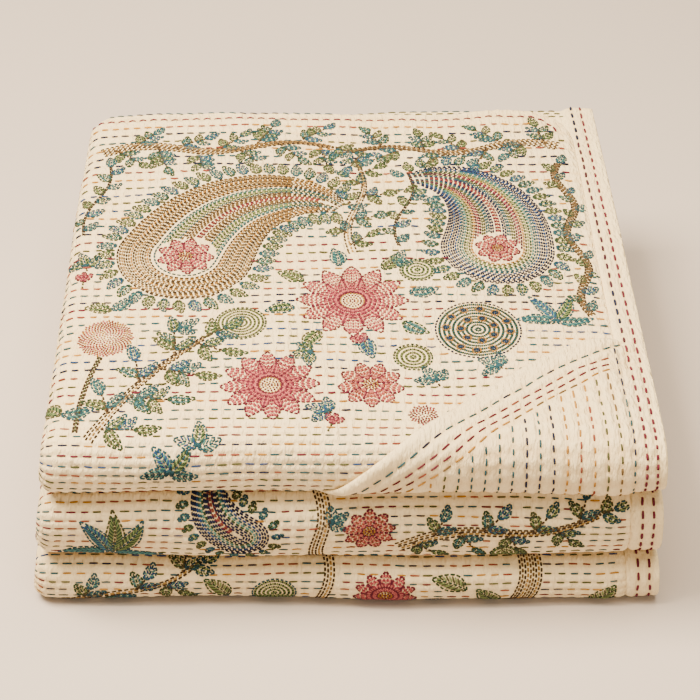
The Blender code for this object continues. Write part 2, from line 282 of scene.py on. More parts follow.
NOSES = tuple((along_at(start), along_at(start + 1)) for start in (1, 5, 9))
TOP_REACH = NOSES[0][1] + 0.01          # what lies nearer than this belongs to the top pass and its bend
BACK_TURNS = tuple((back_along_at(start), back_along_at(start + 1)) for start in (3, 7))


def row_lines():
    """Where the stitched rows of the face lie along the cloth, over all three front folds."""
    rows, place = [], FIRST_ROW
    while place < NOSES[0][1] - ROW_FADE:
        rows.append(place)
        place += next(pitch for limit, pitch in ROW_PITCHES if place < limit)
    for start, end in NOSES[1:]:
        count = int((end - start - 0.007) / NOSE_PITCH)
        rows += [start + 0.0055 + NOSE_PITCH * number for number in range(count)]
    return np.array(rows)


ROWS = row_lines()
TOP_ROWS = int(np.sum(ROWS < NOSES[0][1]))
ROW_SHIFTS = np.cumsum(random.uniform(-0.0011, 0.0014, len(ROWS)))


def face_strength(along):
    """How far the rows' relief shows: none where a front bend runs out into a hidden pass."""
    strength = np.zeros_like(along)
    for number, (start, end) in enumerate(NOSES):
        begin = 0.0 if number == 0 else start
        strength += smooth((along - begin) / ROW_FADE + (number == 0)) * smooth((end - along) / ROW_FADE)
    return strength


def drift(across, along):
    """How far a hand-sewn row strays along the cloth from its true place."""
    stray = 0.0007 * np.sin(21 * across + 9 * along) + 0.0004 * np.sin(53 * across - 31 * along + 2)
    return stray * face_strength(along) * smooth(along / 0.02)


def corner_draw(across, along):
    """How far the cloth is drawn forward at the rounded right end of its back hem."""
    past = np.clip(across - HEM + HEM_CORNER_RADIUS, 0, HEM_CORNER_RADIUS)
    rounding = HEM_CORNER_RADIUS - np.sqrt(HEM_CORNER_RADIUS ** 2 - past ** 2)
    return rounding * np.clip(1 - along / HEM_REACH, 0, 1) ** 2


def undrawn(across, along):
    """The place along the mesh that ends up at a true place along the cloth."""
    found = np.array(along, float)
    for _ in range(12):
        near = np.clip(1 - found / HEM_REACH, 0, 1)
        slope = 1 - 2 * corner_draw(across, 0.0) * near / HEM_REACH
        found -= (found + corner_draw(across, found) - along) / slope
    return found


# ---------------------------------------------------------------------------------------------
# What is embroidered where.  Outlines keep the stitched rows out of the motifs.
# ---------------------------------------------------------------------------------------------

THREADS = {                 # each thread's colour, as red, green and blue of light
    "teal": (0.014, 0.060, 0.085),
    "navy": (0.006, 0.011, 0.042),
    "blue": (0.012, 0.044, 0.150),
    "crimson": (0.098, 0.008, 0.026),
    "rust": (0.190, 0.040, 0.028),
    "amber": (0.350, 0.165, 0.025),
    "ochre": (0.115, 0.066, 0.024),
    "brown": (0.034, 0.019, 0.010),
    "olive": (0.055, 0.062, 0.024),
    "green": (0.020, 0.046, 0.022),
    "pink": (0.235, 0.030, 0.055),
    "plum": (0.048, 0.009, 0.024),
    "sea": (0.065, 0.190, 0.175),
    "sage": (0.165, 0.220, 0.080),
    "blush": (0.470, 0.130, 0.120),
    "straw": (0.320, 0.185, 0.050),
}
sewing = {}                 # (patch, thread) -> stitches as rows of (across, along, across, along, width)
motif_outlines = []         # (patch, outline) of each motif, which the rows stay out of
ground_taken = []           # (patch, place, width) of what leaves stay off


def add_stitches(patch, thread, ends, width):
    """Keeps stitches, each from one place on a patch to another."""
    if patch == "face":
        ends = ends[np.maximum(ends[:, 0], ends[:, 2]) < HEM - 0.0004]
    if len(ends):
        widths = np.full((len(ends), 1), width)
        sewing.setdefault((patch, thread), []).append(np.hstack([ends, widths]))


def running(curve, stitch, gap, start=0.0):
    """Cuts a curve into running stitches, as rows of (across, along, across, along)."""
    curve = np.asarray(curve, float)
    lengths = np.concatenate([[0], np.cumsum(np.hypot(*np.diff(curve, axis=0).T))])
    total = lengths[-1]
    count = max(1, int(round((total + gap) / (stitch + gap))))
    period = (total + gap) / count
    first = np.arange(count) * period + start
    last = np.minimum(first + period - gap, total)
    first, last = first[last > first], last[last > first]
    ends = [np.interp(place, lengths, curve[:, axis]) for place in (first, last) for axis in (0, 1)]
    return np.stack(ends, 1)


class Spot:
    """A place on the cloth, turned and perhaps mirrored, on which a motif is drawn."""

    def __init__(self, across, along, turn=0.0, mirror=False, patch="face"):
        self.at = np.array([across, along])
        angle = math.radians(turn)
        side = -1.0 if mirror else 1.0
        self.right = np.array([math.cos(angle) * side, -math.sin(angle)])
        self.up = np.array([-math.sin(angle) * side, -math.cos(angle)])
        self.patch = patch

    def put(self, points):
        """Points of the motif's own drawing, brought to the cloth."""
        points = np.asarray(points, float)
        return self.at + points[:, :1] * self.right + points[:, 1:] * self.up

    def sew(self, thread, curve, stitch=0.0032, gap=0.0002, width=MOTIF_THREAD, start=0.0, heart=0.0):
        """Running stitch along a curve of the motif, leaving a round heart free."""
        ends = running(self.put(curve), stitch, gap, start)
        away = np.hypot(ends[:, 0] - self.at[0], ends[:, 1] - self.at[1])
        add_stitches(self.patch, thread, ends[away >= heart], width)

    def single(self, thread, starts, ends, width=MOTIF_THREAD):
        """Single stitches."""
        add_stitches(self.patch, thread, np.hstack([self.put(starts), self.put(ends)]), width)

    def clear(self, left, right=()):
        """Keeps the rows out of an outline, given whole or as its two sides."""
        outline = np.concatenate([left, right[::-1]]) if len(right) else left
        motif_outlines.append((self.patch, self.put(outline)))

    def spot(self, point, turn=0.0):
        """A further place, given in the motif's own drawing."""
        made = Spot(0, 0, patch=self.patch)
        made.at = self.put([point])[0]
        angle = math.radians(turn)
        made.right = math.cos(angle) * self.right + math.sin(angle) * self.up
        made.up = -math.sin(angle) * self.right + math.cos(angle) * self.up
        return made


LEAF_TONES = (              # edge, veins, tint between the veins
    ("teal", "teal", "sea"),
    ("green", "olive", "sage"),
    ("teal", "green", "sage"),
    ("olive", "green", "sage"),
    ("teal", "blue", "sea"),
    ("green", "teal", "sea"),
)
GREEN_TONES = (LEAF_TONES[1], LEAF_TONES[3])
PINK_TONES = ("crimson", "pink", "blush")
RUST_TONES = ("crimson", "rust", "blush")
ROUND_GREENS = ("green", "olive", "sage")
BRANCH_THREADS = ("ochre", "straw", "brown", "ochre")
VEIN_PITCH = 0.0030         # between a leaf's side veins
STRAND_SPREAD = 0.0012      # between the rows of a stem
BRANCH_PITCH = 0.0015       # between the rows of a branch at its root
DROP_PITCH = 0.0016         # between the lines of a paisley
SEED_PITCH = 0.00105        # between the stitches of a pompon
LEAF_SLANT, TWIG_SLANT = 50, 56
CURVE_POINTS = 70
CURL_TURN = (8, 128)        # how far a paisley leans at its root and at its tip


def taken(spot, point, width):
    """Whether other embroidery lies too near a place; if it doesn't, the place is taken."""
    middle = spot.put([point])[0]
    for patch, place, size in ground_taken:
        if patch == spot.patch and np.hypot(*(place - middle)) < 0.42 * (size + width):
            return True
    ground_taken.append((spot.patch, middle, width))
    return False


def leaf(spot, length, width, tones):
    """A leaf from the spot upwards: outline, midrib, slanted veins and a paler tint between them."""
    if taken(spot, (0, length / 2), width):
        return
    edge, vein, tint = tones
    share = np.linspace(0, 1, 17)
    half = width / 2 * np.sin(math.pi * share ** 0.8)
    bow = 0.07 * length * np.sin(math.pi * share)
    for side in (-1, 1):
        spot.sew(edge, np.stack([bow + side * half, share * length], 1), 0.0036, 0.0001)
    spot.sew(edge, np.stack([bow, share * length], 1)[:15], 0.0036, 0.0002, MOTIF_THREAD * 0.9)
    count = max(2, int(0.74 * length / VEIN_PITCH))
    for thread, shift in ((vein, 0.0), (tint, 0.5)):
        places = 0.10 + 0.74 * (np.arange(count) + shift) / count
        slant = 0.10 + 0.0012 / length
        reach = np.interp(np.minimum(places + slant, 1), share, half) * 0.80
        for side in (-1, 1):
            root = np.interp(places, share, bow) + side * 0.0006
            tips = np.interp(places + slant, share, bow) + side * reach
            chosen = reach > 0.0010
            starts = np.stack([root, places * length], 1)[chosen]
            ends = np.stack([tips, (places + slant) * length], 1)[chosen]
            spot.single(thread, starts, ends, MOTIF_THREAD * 0.85)
    grown = half + 0.0012
    spot.clear(*(np.stack([bow + side * grown, share * length], 1) for side in (-1, 1)))


def offset_lines(curve, offsets):
    """The curve, moved sideways by each offset."""
    curve = np.asarray(curve, float)
    heading = np.gradient(curve, axis=0)
    heading /= np.hypot(*heading.T)[:, None] + 1e-12
    normal = np.stack([-heading[:, 1], heading[:, 0]], 1)
    return [curve + normal * np.reshape(offset, (-1, 1)) for offset in offsets]


def stem(spot, curve, threads=("brown", "ochre"), strands=2):
    """Parallel rows of stitches along a curve, the outer ones in the first thread."""
    offsets = (np.arange(strands) - (strands - 1) / 2) * STRAND_SPREAD
    for strand, line in enumerate(offset_lines(curve, offsets)):
        outer = strand in (0, strands - 1)
        spot.sew(threads[0] if outer else threads[1], line, 0.0032, 0.0002, start=0.0011 * (strand % 2))
    reach = strands * STRAND_SPREAD / 2 + 0.0010
    spot.clear(*offset_lines(curve, (reach, -reach)))


def tapered(spot, curve, wide, narrow):
    """A branch of many rows that draw together towards its tip."""
    curve = np.asarray(curve, float)
    share = np.linspace(0, 1, len(curve))
    reach = blend(wide, narrow, share) / 2
    count = max(2, int(wide / BRANCH_PITCH))
    for row in range(count):
        side = blend(-1, 1, row / (count - 1))
        line = offset_lines(curve, [side * reach])[0]
        thread = "brown" if row in (0, count - 1) else BRANCH_THREADS[row % len(BRANCH_THREADS)]
        spot.sew(thread, line, 0.0034, 0.0003, start=0.0012 * (row % 2))
    spot.clear(*offset_lines(curve, (reach + 0.0011, -reach - 0.0011)))


def along_curve(curve, place):
    """A point of a curve and its heading in degrees from upright, at a length along it."""
    lengths = np.concatenate([[0], np.cumsum(np.hypot(*np.diff(curve, axis=0).T))])
    heading = np.gradient(curve, axis=0)
    angle = np.degrees(np.unwrap(np.arctan2(heading[:, 1], heading[:, 0])))
    point = [np.interp(place, lengths, curve[:, axis]) for axis in (0, 1)]
    return point, np.interp(place, lengths, angle) - 90, lengths[-1]


def vine(spot, curve, spacing, length, width, strands=2):
    """A stem with leaves on alternate sides and one at its tip."""
    curve = np.asarray(curve, float)
    stem(spot, curve, strands=strands)
    total = along_curve(curve, 0)[2]
    for number, place in enumerate(np.arange(0.006, total - 0.003, spacing)):
        point, turn, _ = along_curve(curve, place)
        turn += LEAF_SLANT if number % 2 else -LEAF_SLANT
        grow = (1.0, 0.86, 1.08, 0.92, 0.8)[number % 5]
        leaf(spot.spot(point, turn), length * grow, width * grow, LEAF_TONES[number * 5 % len(LEAF_TONES)])
    point, turn, _ = along_curve(curve, total)
    leaf(spot.spot(point, turn), length, width, LEAF_TONES[0])


def cluster(spot, length, width, tones):
    """Three leaves that spread from one place on a short stalk."""
    stalk = length * 0.35
    spot.sew("brown", [(0, 0), (0, stalk)], 0.0024, 0.0005)
    for turn, grow in ((-62, 0.88), (0, 1), (62, 0.88)):
        leaf(spot.spot((0, stalk), turn), length * grow, width, tones)


def sprig(spot, length, pairs, size, first=0):
    """A twig with leaves in pairs and one at its tip."""
    share = np.linspace(0, 1, 20)
    curve = np.stack([0.12 * length * np.sin(math.pi * share / 2) ** 2, share * length], 1)
    spot.sew("brown", curve, 0.0028, 0.0003)
    spot.sew("ochre", offset_lines(curve, [0.0011])[0][:15], 0.0028, 0.0005)
    for number in range(pairs):
        point, turn, _ = along_curve(curve, length * (0.28 + 0.62 * number / pairs))
        grow = 1 - 0.20 * number / pairs
        for side in (-1, 1):
            tone = LEAF_TONES[(first + 2 * number + (side > 0)) % len(LEAF_TONES)]
            leaf(spot.spot(point, turn + side * LEAF_SLANT), size[0] * grow, size[1] * grow, tone)
    point, turn, _ = along_curve(curve, length * 0.99)
    leaf(spot.spot(point, turn), size[0], size[1], LEAF_TONES[first % len(LEAF_TONES)])


def bough(spot, curve, spacing, size, ends, reach, pairs=2):
    """A golden branch that tapers from one width to another, with leafy twigs on both sides."""
    curve = np.asarray(curve, float)
    tapered(spot, curve, *ends)
    total = along_curve(curve, 0)[2]
    for number, place in enumerate(np.arange(0.010, total - 0.004, spacing)):
        point, turn, _ = along_curve(curve, place)
        turn += TWIG_SLANT if number % 2 else -TWIG_SLANT
        length = reach * (1.0, 0.8, 1.15, 0.9, 1.05)[number % 5]
        sprig(spot.spot(point, turn), length, pairs, size, number * 5 + 1)
    point, turn, _ = along_curve(curve, total)
    sprig(spot.spot(point, turn), reach * 0.7, pairs, size, 2)


def petal(spot, length, width, tones, lines=3):
    """A petal from the spot upwards: a dark outline and curved lines inside it, pale between."""
    edge, fill, tint = tones
    share = np.linspace(0, 1, 17)
    half = width / 2 * np.sin(math.pi * share ** 1.2)
    for side in (-1, 1):
        spot.sew(edge, np.stack([side * half, share * length], 1), 0.0030, 0.0001, MOTIF_THREAD * 1.12)
    count = 2 * lines + 1
    for number in range(count):
        inside_share = blend(-1, 1, (number + 1) / (count + 1))
        line = np.stack([inside_share * half, share * length], 1)[1:-2]
        spot.sew(tint if number % 2 == 0 else fill, line, 0.0030, 0.0003, start=0.0008 * (number % 2))
    grown = half + 0.0010
    spot.clear(*(np.stack([side * grown, share * length], 1) for side in (-1, 1)))


def ring(radius):
    """A circle."""
    angle = np.radians(np.linspace(0, 360, 41))
    return np.stack([radius * np.cos(angle), radius * np.sin(angle)], 1)


def rosette(spot, radius, petals, tones=PINK_TONES, tiers=2, lines=2):
    """A round flower of one or two tiers of petals round a heart."""
    inner = 0.26 * radius
    for tier in range(tiers):
        reach = radius * (1.0, 0.66)[tier]
        length = reach - inner * 0.8
        width = FULL_TURN * (inner + length * 0.55) / petals * (0.98, 0.74)[tier]
        for number in range(petals):
            turn = 360 / petals * (number + 0.5 * tier)
            angle = math.radians(turn)
            base = (inner * 0.8 * math.sin(angle), inner * 0.8 * math.cos(angle))
            petal(spot.spot(base, -turn), length, width, tones, lines if tier == 0 else 1)
    for number in range(4):
        spot.sew("amber" if number % 2 else tones[0], ring(inner * (0.18 + 0.21 * number)), 0.0016, 0.0005)
    spot.clear(ring(radius * 0.75))


def pompon(spot, radius, threads):
    """A round flower of short stitches that spread from its middle."""
    count = int((radius / SEED_PITCH) ** 2)
    number = np.arange(1, count)
    out = radius * np.sqrt(number / count)
    turn = np.radians(137.508) * number
    points = np.stack([out * np.cos(turn), out * np.sin(turn)], 1)
    reach = np.clip(0.0011 * out / radius + 0.0004, 0, 0.0011)
    way = np.stack([np.cos(turn), np.sin(turn)], 1) * reach[:, None]
    pick = random.integers(0, len(threads), len(points))
    for index, thread in enumerate(threads):
        chosen = pick == index
        spot.single(thread, (points - way)[chosen], (points + way)[chosen], MOTIF_THREAD * 0.95)
    spot.clear(ring(radius + 0.0012))


def medallion(spot, radius, threads=ROUND_GREENS, pitch=0.0026):
    """A round of stitches like spokes, tier on tier, inside a dark ring."""
    edge, fill, tint = threads
    tiers = max(2, int(radius / pitch))
    for tier in range(tiers):
        low, high = (tier + 0.10) / tiers, (tier + 0.92) / tiers
        spokes = max(5, int(FULL_TURN * radius * (tier + 0.6) / tiers / 0.00135))
        angle = FULL_TURN * (np.arange(spokes) + 0.5 * (tier % 2)) / spokes
        way = np.stack([np.cos(angle), np.sin(angle)], 1) * radius
        for thread, first in ((fill, 0), (tint, 1)):
            chosen = np.arange(spokes) % 2 == first
            spot.single(thread, (way * low)[chosen], (way * high)[chosen], MOTIF_THREAD * 0.9)
    spot.sew(edge, ring(radius * 1.04), 0.0026, 0.0004)
    spot.clear(ring(radius * 1.10 + 0.0008))


def wheel(spot, radius):
    """A dense round in the colours of water: rings of short stitches with dark eyes between them."""
    medallion(spot, radius, ("navy", "teal", "green"), pitch=0.0030)
    for tier, count in ((0.42, 7), (0.78, 12)):
        for number in range(count):
            angle = FULL_TURN * (number + tier) / count
            eye = spot.spot((radius * tier * math.cos(angle), radius * tier * math.sin(angle)))
            for reach, thread in ((0.0028, "amber"), (0.0017, "navy"), (0.0007, "blue")):
                eye.sew(thread, ring(reach), 0.0017, 0.0002, MOTIF_THREAD * 1.1)


def curl(length):
    """A line from the origin upwards that turns more and more, as points and headings."""
    share = np.linspace(0, 1, CURVE_POINTS)
    heading = np.radians(90 - blend(*CURL_TURN, share ** 1.6))
    step = np.stack([np.cos(heading), np.sin(heading)], 1) * length / (CURVE_POINTS - 1)
    return np.concatenate([[[0, 0]], np.cumsum(step[:-1], axis=0)]), heading


def reach_of(number):
    """How far towards the tip a line of a drop is sewn: fewer lines go on as the drop narrows."""
    if number % 2:
        return 0.74
    if number % 4:
        return 0.89
    return 0.955 if number % 8 else 0.985


def drop_line(spine, heading, half, size, reach=1.0):
    """The outline of a curled drop, drawn in towards its spine by a size from 1 to 0."""
    normal = np.stack([-np.sin(heading), np.cos(heading)], 1)
    cap = np.radians(np.linspace(0, -180, 25)[1:-1]) + heading[0] - math.pi / 2
    cut = int(len(spine) * reach)
    left = spine[:cut] + normal[:cut] * half[:cut, None] * size
    right = spine[:cut] - normal[:cut] * half[:cut, None] * size
    round_end = spine[0] + np.stack([np.cos(cap), np.sin(cap)], 1) * half[0] * size
    return np.concatenate([left[::-1], round_end[::-1], right])


def paisley(spot, radius, length, threads, crown, heart=None):
    """A drop with a curled tip: lines inside each other, leaves round it and a flower in it."""
    spine, heading = curl(length)
    share = np.linspace(0, 1, len(spine))
    half = radius * (1 - share) ** 0.70 * (1 + 0.35 * share)
    free = heart[0] * 1.06 if heart else 0.0
    for number, thread in enumerate(threads.split()):
        size = 1 - number * DROP_PITCH / radius
        if thread != "." and size > 0.08:
            line = drop_line(spine, heading, half, size, reach_of(number))
            spot.sew(thread, line, 0.0034, 0.0002, start=0.0011 * (number % 2), heart=free)
    free = heart[0] * 1.1 if heart else radius * 0.3
    lines = offset_lines(spine, (-0.0014, 0.0, 0.0014))
    for thread, line in zip(("crimson", "rust", "crimson"), lines):
        spot.sew(thread, line[:int(0.86 * len(spine))], 0.0034, 0.0003, heart=free)
    outline = drop_line(spine, heading, half, 1.0)
    spot.clear(outline)
    for point, reach in zip(spine[::5], half[::5]):
        ground_taken.append((spot.patch, spot.put([point])[0], 2 * reach))
    leaf_length, leaf_width, spacing = crown
    total = along_curve(outline, 0)[2]
    for index, place in enumerate(np.arange(0.004, total - 0.004, spacing)):
        point, turned, _ = along_curve(outline, place)
        out = math.radians(turned)
        foot = (point[0] + 0.0016 * math.cos(out), point[1] + 0.0016 * math.sin(out))
        leaf(spot.spot(foot, turned - 90 + 16), leaf_length, leaf_width, LEAF_TONES[index % len(LEAF_TONES)])
    if heart:
        rosette(spot, *heart, tiers=1, lines=2)


def wavy(start, end, bow, waves, count=CURVE_POINTS):
    """A curve from one place to another that waves about the straight line."""
    start, end = np.array(start), np.array(end)
    share = np.linspace(0, 1, count)[:, None]
    across = np.array([-(end - start)[1], (end - start)[0]])
    across = across / np.hypot(*across)
    return start + (end - start) * share + across * bow * np.sin(FULL_TURN * waves * share)


def fan(spot, count, spread, length, width):
    """Leaves that spread from one place, the middle one longest."""
    order = sorted(range(count), key=lambda number: -abs(number - (count - 1) / 2))
    for number in order:
        turn = blend(-spread, spread, number / (count - 1))
        grow = 1 - 0.20 * abs(turn) / spread
        leaf(spot.spot((0, 0), turn), length * grow, width, LEAF_TONES[number % len(LEAF_TONES)])


def bud(spot, size):
    """Three small petals on a stalk."""
    spot.sew("olive", [(0, 0), (0, size * 0.8)], 0.0022, 0.0004)
    for turn in (-34, 34, 0):
        petal(spot.spot((0, size * 0.75), turn), size, size * 0.52, PINK_TONES, 1)


def top_spot(across, back, turn=0.0, mirror=False):
    """A place on the top pass, by its distance back from the middle."""
    return Spot(across, BACK - back, turn, mirror)


def nose_spot(number, across, down, turn=0.0):
    """A place on a front fold, by how far down round it the place is."""
    return Spot(across, NOSES[number][0] + down, turn)


# The lines of the paisleys, from the outside in; a dot leaves a line out.
GOLD_LINES = 2 * "brown ochre straw ochre brown ochre amber " + (
    "brown . teal sea green sage olive sage teal ochre brown ochre ochre ochre"
)
NAVY_LINES = (
    "navy navy navy blue navy navy blue teal teal sea green sage olive amber plum pink plum olive olive "
    "teal teal navy navy navy"
)
SMALL_LINES = "navy navy navy blue teal sea green navy navy navy"


def top_motifs():
    """The embroidery of the top."""
    cloth = top_spot(0, 0)
    paisley(
        top_spot(-0.112, 0.002, -12), 0.047, 0.150, GOLD_LINES,
        (0.0150, 0.0084, 0.0090), (0.0200, 9, PINK_TONES),
    )
    paisley(
        top_spot(0.104, 0.010, 16, mirror=True), 0.039, 0.126, NAVY_LINES,
        (0.0135, 0.0078, 0.0084), (0.0160, 8, RUST_TONES),
    )
    for start, end, bow, waves, spacing, leaves, ends, reach, pairs in (
        ((-0.180, 0.132), (-0.010, 0.138), 0.006, 1.5, 0.0155, (0.0136, 0.0074), (0.0110, 0.0034), 0.028, 3),
        ((0.160, 0.137), (0.004, 0.132), -0.006, 1.5, 0.0155, (0.0136, 0.0074), (0.0095, 0.0032), 0.026, 3),
        ((0.004, 0.004), (0.010, 0.112), 0.005, 1.0, 0.0150, (0.0132, 0.0074), (0.0055, 0.0024), 0.015, 2),
    ):
        bough(cloth, wavy(start, end, bow, waves), spacing, leaves, ends, reach, pairs)
    vine(cloth, wavy((-0.184, 0.024), (-0.172, 0.112), 0.004, 1.0), 0.0092, 0.0140, 0.0080)
    vine(cloth, wavy((0.161, -0.062), (0.157, 0.114), 0.005, 2.5), 0.0098, 0.0130, 0.0076, strands=5)
    vine(cloth, wavy((0.036, 0.010), (0.046, 0.102), 0.005, 1.0), 0.0092, 0.0130, 0.0074)
    middle = top_spot(0.002, -0.048)
    rosette(middle, 0.038, 12, lines=3)
    for number in range(8):
        leaf(middle.spot((0, 0), 45 * number + 12).spot((0, 0.039)), 0.0210, 0.0115, LEAF_TONES[number % 6])
    medallion(top_spot(0.047, -0.016), 0.0115, ("green", "green", "sage"))
    wheel(top_spot(0.084, -0.078), 0.0270)
    medallion(top_spot(0.040, -0.104), 0.0120)
    medallion(top_spot(-0.072, -0.072), 0.0160)
    fan(top_spot(0.136, -0.069, 4), 7, 84, 0.033, 0.0098)
    fan(top_spot(-0.158, -0.058, 20), 4, 60, 0.024, 0.0100)
    rosette(top_spot(-0.052, -0.134, 4), 0.0320, 12, lines=3)
    rosette(top_spot(0.012, -0.132, 20), 0.0215, 9, RUST_TONES, tiers=1, lines=3)
    low = wavy((-0.164, -0.182), (-0.096, -0.088), 0.006, 0.5)
    bough(cloth, low, 0.0165, (0.0180, 0.0086), (0.0065, 0.0030), 0.024)
    pompon(top_spot(-0.160, -0.086), 0.0180, ("rust", "pink", "amber", "rust", "blush"))
    stem(cloth, wavy((-0.172, -0.176), (-0.162, -0.104), 0.003, 0.5), ("brown", "olive"), 3)
    fan(top_spot(-0.182, -0.160, -8), 4, 62, 0.027, 0.0110)
    fan(top_spot(-0.096, -0.186, 0), 5, 70, 0.020, 0.0090)
    pompon(top_spot(0.044, -0.160), 0.0090, ("rust", "pink", "crimson"))
    for across, back, turn in ((-0.016, -0.176, -20), (-0.180, -0.034, 0), (0.012, -0.098, 30)):
        bud(top_spot(across, back, turn), 0.010)
    for across, back, turn in (
        (-0.010, -0.160, 70),
        (-0.118, -0.078, -60),
        (0.056, -0.132, 30),
        (-0.178, -0.016, 20),
        (0.028, -0.012, -30),
        (-0.020, -0.100, 110),
        (0.100, -0.118, 60),
        (-0.126, -0.154, 60),
    ):
        cluster(top_spot(across, back, turn), 0.0160, 0.0088, LEAF_TONES[int(abs(turn)) % 6])


def fold_motifs():
    """The embroidery of the three front folds."""
    fan(nose_spot(0, -0.112, 0.030), 7, 100, 0.023, 0.0092)
    fan(nose_spot(1, -0.146, 0.058), 7, 92, 0.041, 0.0120)
    paisley(nose_spot(1, -0.066, 0.038, 62), 0.0165, 0.064, SMALL_LINES, (0.0085, 0.0052, 0.0074))
    cloth = nose_spot(1, 0, 0)
    twig = wavy((0.030, -0.052), (0.152, -0.022), 0.006, 1.0)
    bough(cloth, twig, 0.0150, (0.0130, 0.0070), (0.0085, 0.0034), 0.015)
    rosette(nose_spot(1, 0.012, 0.036), 0.0165, 9, RUST_TONES, tiers=1)
    medallion(nose_spot(1, 0.096, 0.058), 0.0085)
    tapered(cloth, wavy((-0.016, -0.074), (-0.020, -0.004), 0.003, 1.0, 30), 0.0085, 0.0070)
    cluster(nose_spot(1, -0.016, 0.030, -60), 0.0130, 0.0075, LEAF_TONES[0])
    cloth = nose_spot(2, 0, 0)
    twig = wavy((-0.182, -0.056), (-0.096, -0.014), 0.004, 1.0)
    bough(cloth, twig, 0.0165, (0.0140, 0.0078), (0.0055, 0.0026), 0.012)
    tapered(cloth, wavy((0.108, -0.066), (0.112, -0.004), 0.002, 1.0, 30), 0.0140, 0.0130)
    for across, down, turn in (
        (-0.072, 0.040, 40),
        (0.074, 0.030, 66),
        (0.092, 0.050, 30),
        (0.150, 0.046, -40),
    ):
        leaf(nose_spot(2, across, down, turn), 0.0240, 0.0135, GREEN_TONES[int(down * 1000) % 2])
    medallion(nose_spot(2, -0.044, 0.036), 0.0130, ("teal", "green", "sage"))
    tapered(cloth, wavy((-0.014, -0.066), (-0.012, -0.004), 0.002, 1.0, 30), 0.0060, 0.0055)
    rosette(nose_spot(2, 0.024, 0.036), 0.0200, 11)
    pompon(nose_spot(2, 0.056, 0.050), 0.0080, ("navy", "blue", "teal"))


def reverse_motifs():
    """The embroidery that shows on the two bends at the back."""
    for number, across in enumerate((-0.150, -0.095, -0.035, 0.030, 0.090, 0.145)):
        start = BACK_TURNS[number % 2][0] + 0.036
        width = LEFT_TURNED - (across - LEFT)
        spot = Spot(width, start, 20 * number, patch="reverse")
        if number % 3 == 0:
            rosette(spot, 0.0165, 9, PINK_TONES if number else RUST_TONES, tiers=1)
        elif number % 3 == 1:
            fan(spot.spot((0, -0.012)), 5, 80, 0.024, 0.0095)
        else:
            medallion(spot, 0.0120)


def inside(outline, across, along):
    """Which places lie inside an outline."""
    found = np.zeros(across.shape, bool)
    low, high = outline.min(0), outline.max(0)
    near = (across > low[0]) & (across < high[0]) & (along > low[1]) & (along < high[1])
    a, b = across[near], along[near]
    hits = np.zeros(a.shape, bool)
    for (x0, y0), (x1, y1) in zip(outline, np.roll(outline, -1, axis=0)):
        if y0 == y1:
            continue
        crosses = (y0 > b) != (y1 > b)
        hits ^= crosses & (a < x0 + (b - y0) * (x1 - x0) / (y1 - y0))
    found[near] = hits
    return found


def embroidered(patch, across, along):
    """Which places of a patch lie inside a motif."""
    found = np.zeros(across.shape, bool)
    for name, outline in motif_outlines:
        if name == patch:
            found |= inside(outline, across, along)
    return found


# ---------------------------------------------------------------------------------------------
# The cloth: its cross-section, its stations along the run, and the relief of the stitching.
# ---------------------------------------------------------------------------------------------

def edge_curve():
    """The turned corner's free edge: places along the cloth, and how far across the edge is there."""
    places = []
    for kind, place, across in CORNER_EDGE:
        along = along_at(1 + place) if kind == "bend" else BACK - place
        places.append((along, across))
    return np.array(sorted(places))


EDGE = edge_curve()
CORNER_START, CORNER_END = EDGE[0, 0], EDGE[-1, 0]


def edge_at(along):
    """How far across the turned corner's free edge is, as a smooth curve through its places."""
    slopes = np.gradient(EDGE[:, 1], EDGE[:, 0])
    number = np.clip(np.searchsorted(EDGE[:, 0], along) - 1, 0, len(EDGE) - 2)
    wide = EDGE[number + 1, 0] - EDGE[number, 0]
    t = (along - EDGE[number, 0]) / wide
    value = (2 * t ** 3 - 3 * t ** 2 + 1) * EDGE[number, 1] + (3 * t ** 2 - 2 * t ** 3) * EDGE[number + 1, 1]
    value += (t ** 3 - 2 * t ** 2 + t) * wide * slopes[number] + (t ** 3 - t ** 2) * wide * slopes[number + 1]
    return value


def row_relief(across, along):
    """The relief of the stitched rows: their troughs, and the flutes that run across them."""
    number = np.interp(along, ROWS, np.arange(len(ROWS)))
    row = np.clip(np.floor(number).astype(int), 0, len(ROWS) - 2)
    phase = number - row
    gap = ROWS[row + 1] - ROWS[row]
    puff = np.where(gap < WIDEST_GAP, np.sin(math.pi * np.clip(phase, 0, 1)) ** PUFF_FULLNESS, 1.0)
    puff = np.where(along < ROWS[0], smooth((ROWS[0] - along) / 0.0035) * 0.9, puff)
    depth = ROW_DEPTH * (0.82 + 0.30 * lumps(across, along, 0.016, 5))
    flute = -np.cos(FULL_TURN * (across - ROW_SHIFTS[row]) / PERIOD) * (1 - phase)
    flute -= np.cos(FULL_TURN * (across - ROW_SHIFTS[row + 1]) / PERIOD) * phase
    return depth * (puff - 1), RIPPLE * flute * (0.7 + 0.5 * lumps(across, along, 0.013, 8))


def upright(along):
    """How far the cloth has turned down: 0 on top and 1 on the folds."""
    return smooth((along - NOSES[0][0] + 0.02) / 0.03)


def face_relief(across, along, covered):
    """The whole relief of the quilt's face."""
    troughs, flutes = row_relief(across, along)
    turned = upright(along)
    rows = troughs * blend(*TROUGH_SHARES, turned) + flutes * blend(*FLUTE_SHARES, turned)
    rows *= 1 - MOTIF_FLATNESS * covered
    motif = covered * (0.00016 * lumps(across, along, 0.0031, 21) - MOTIF_SINK)
    soft = 0.00034 * lumps(across, along, 0.024, 3) + 0.00014 * lumps(across, along, 0.0062, 4)
    return (rows + motif + soft) * face_strength(along)


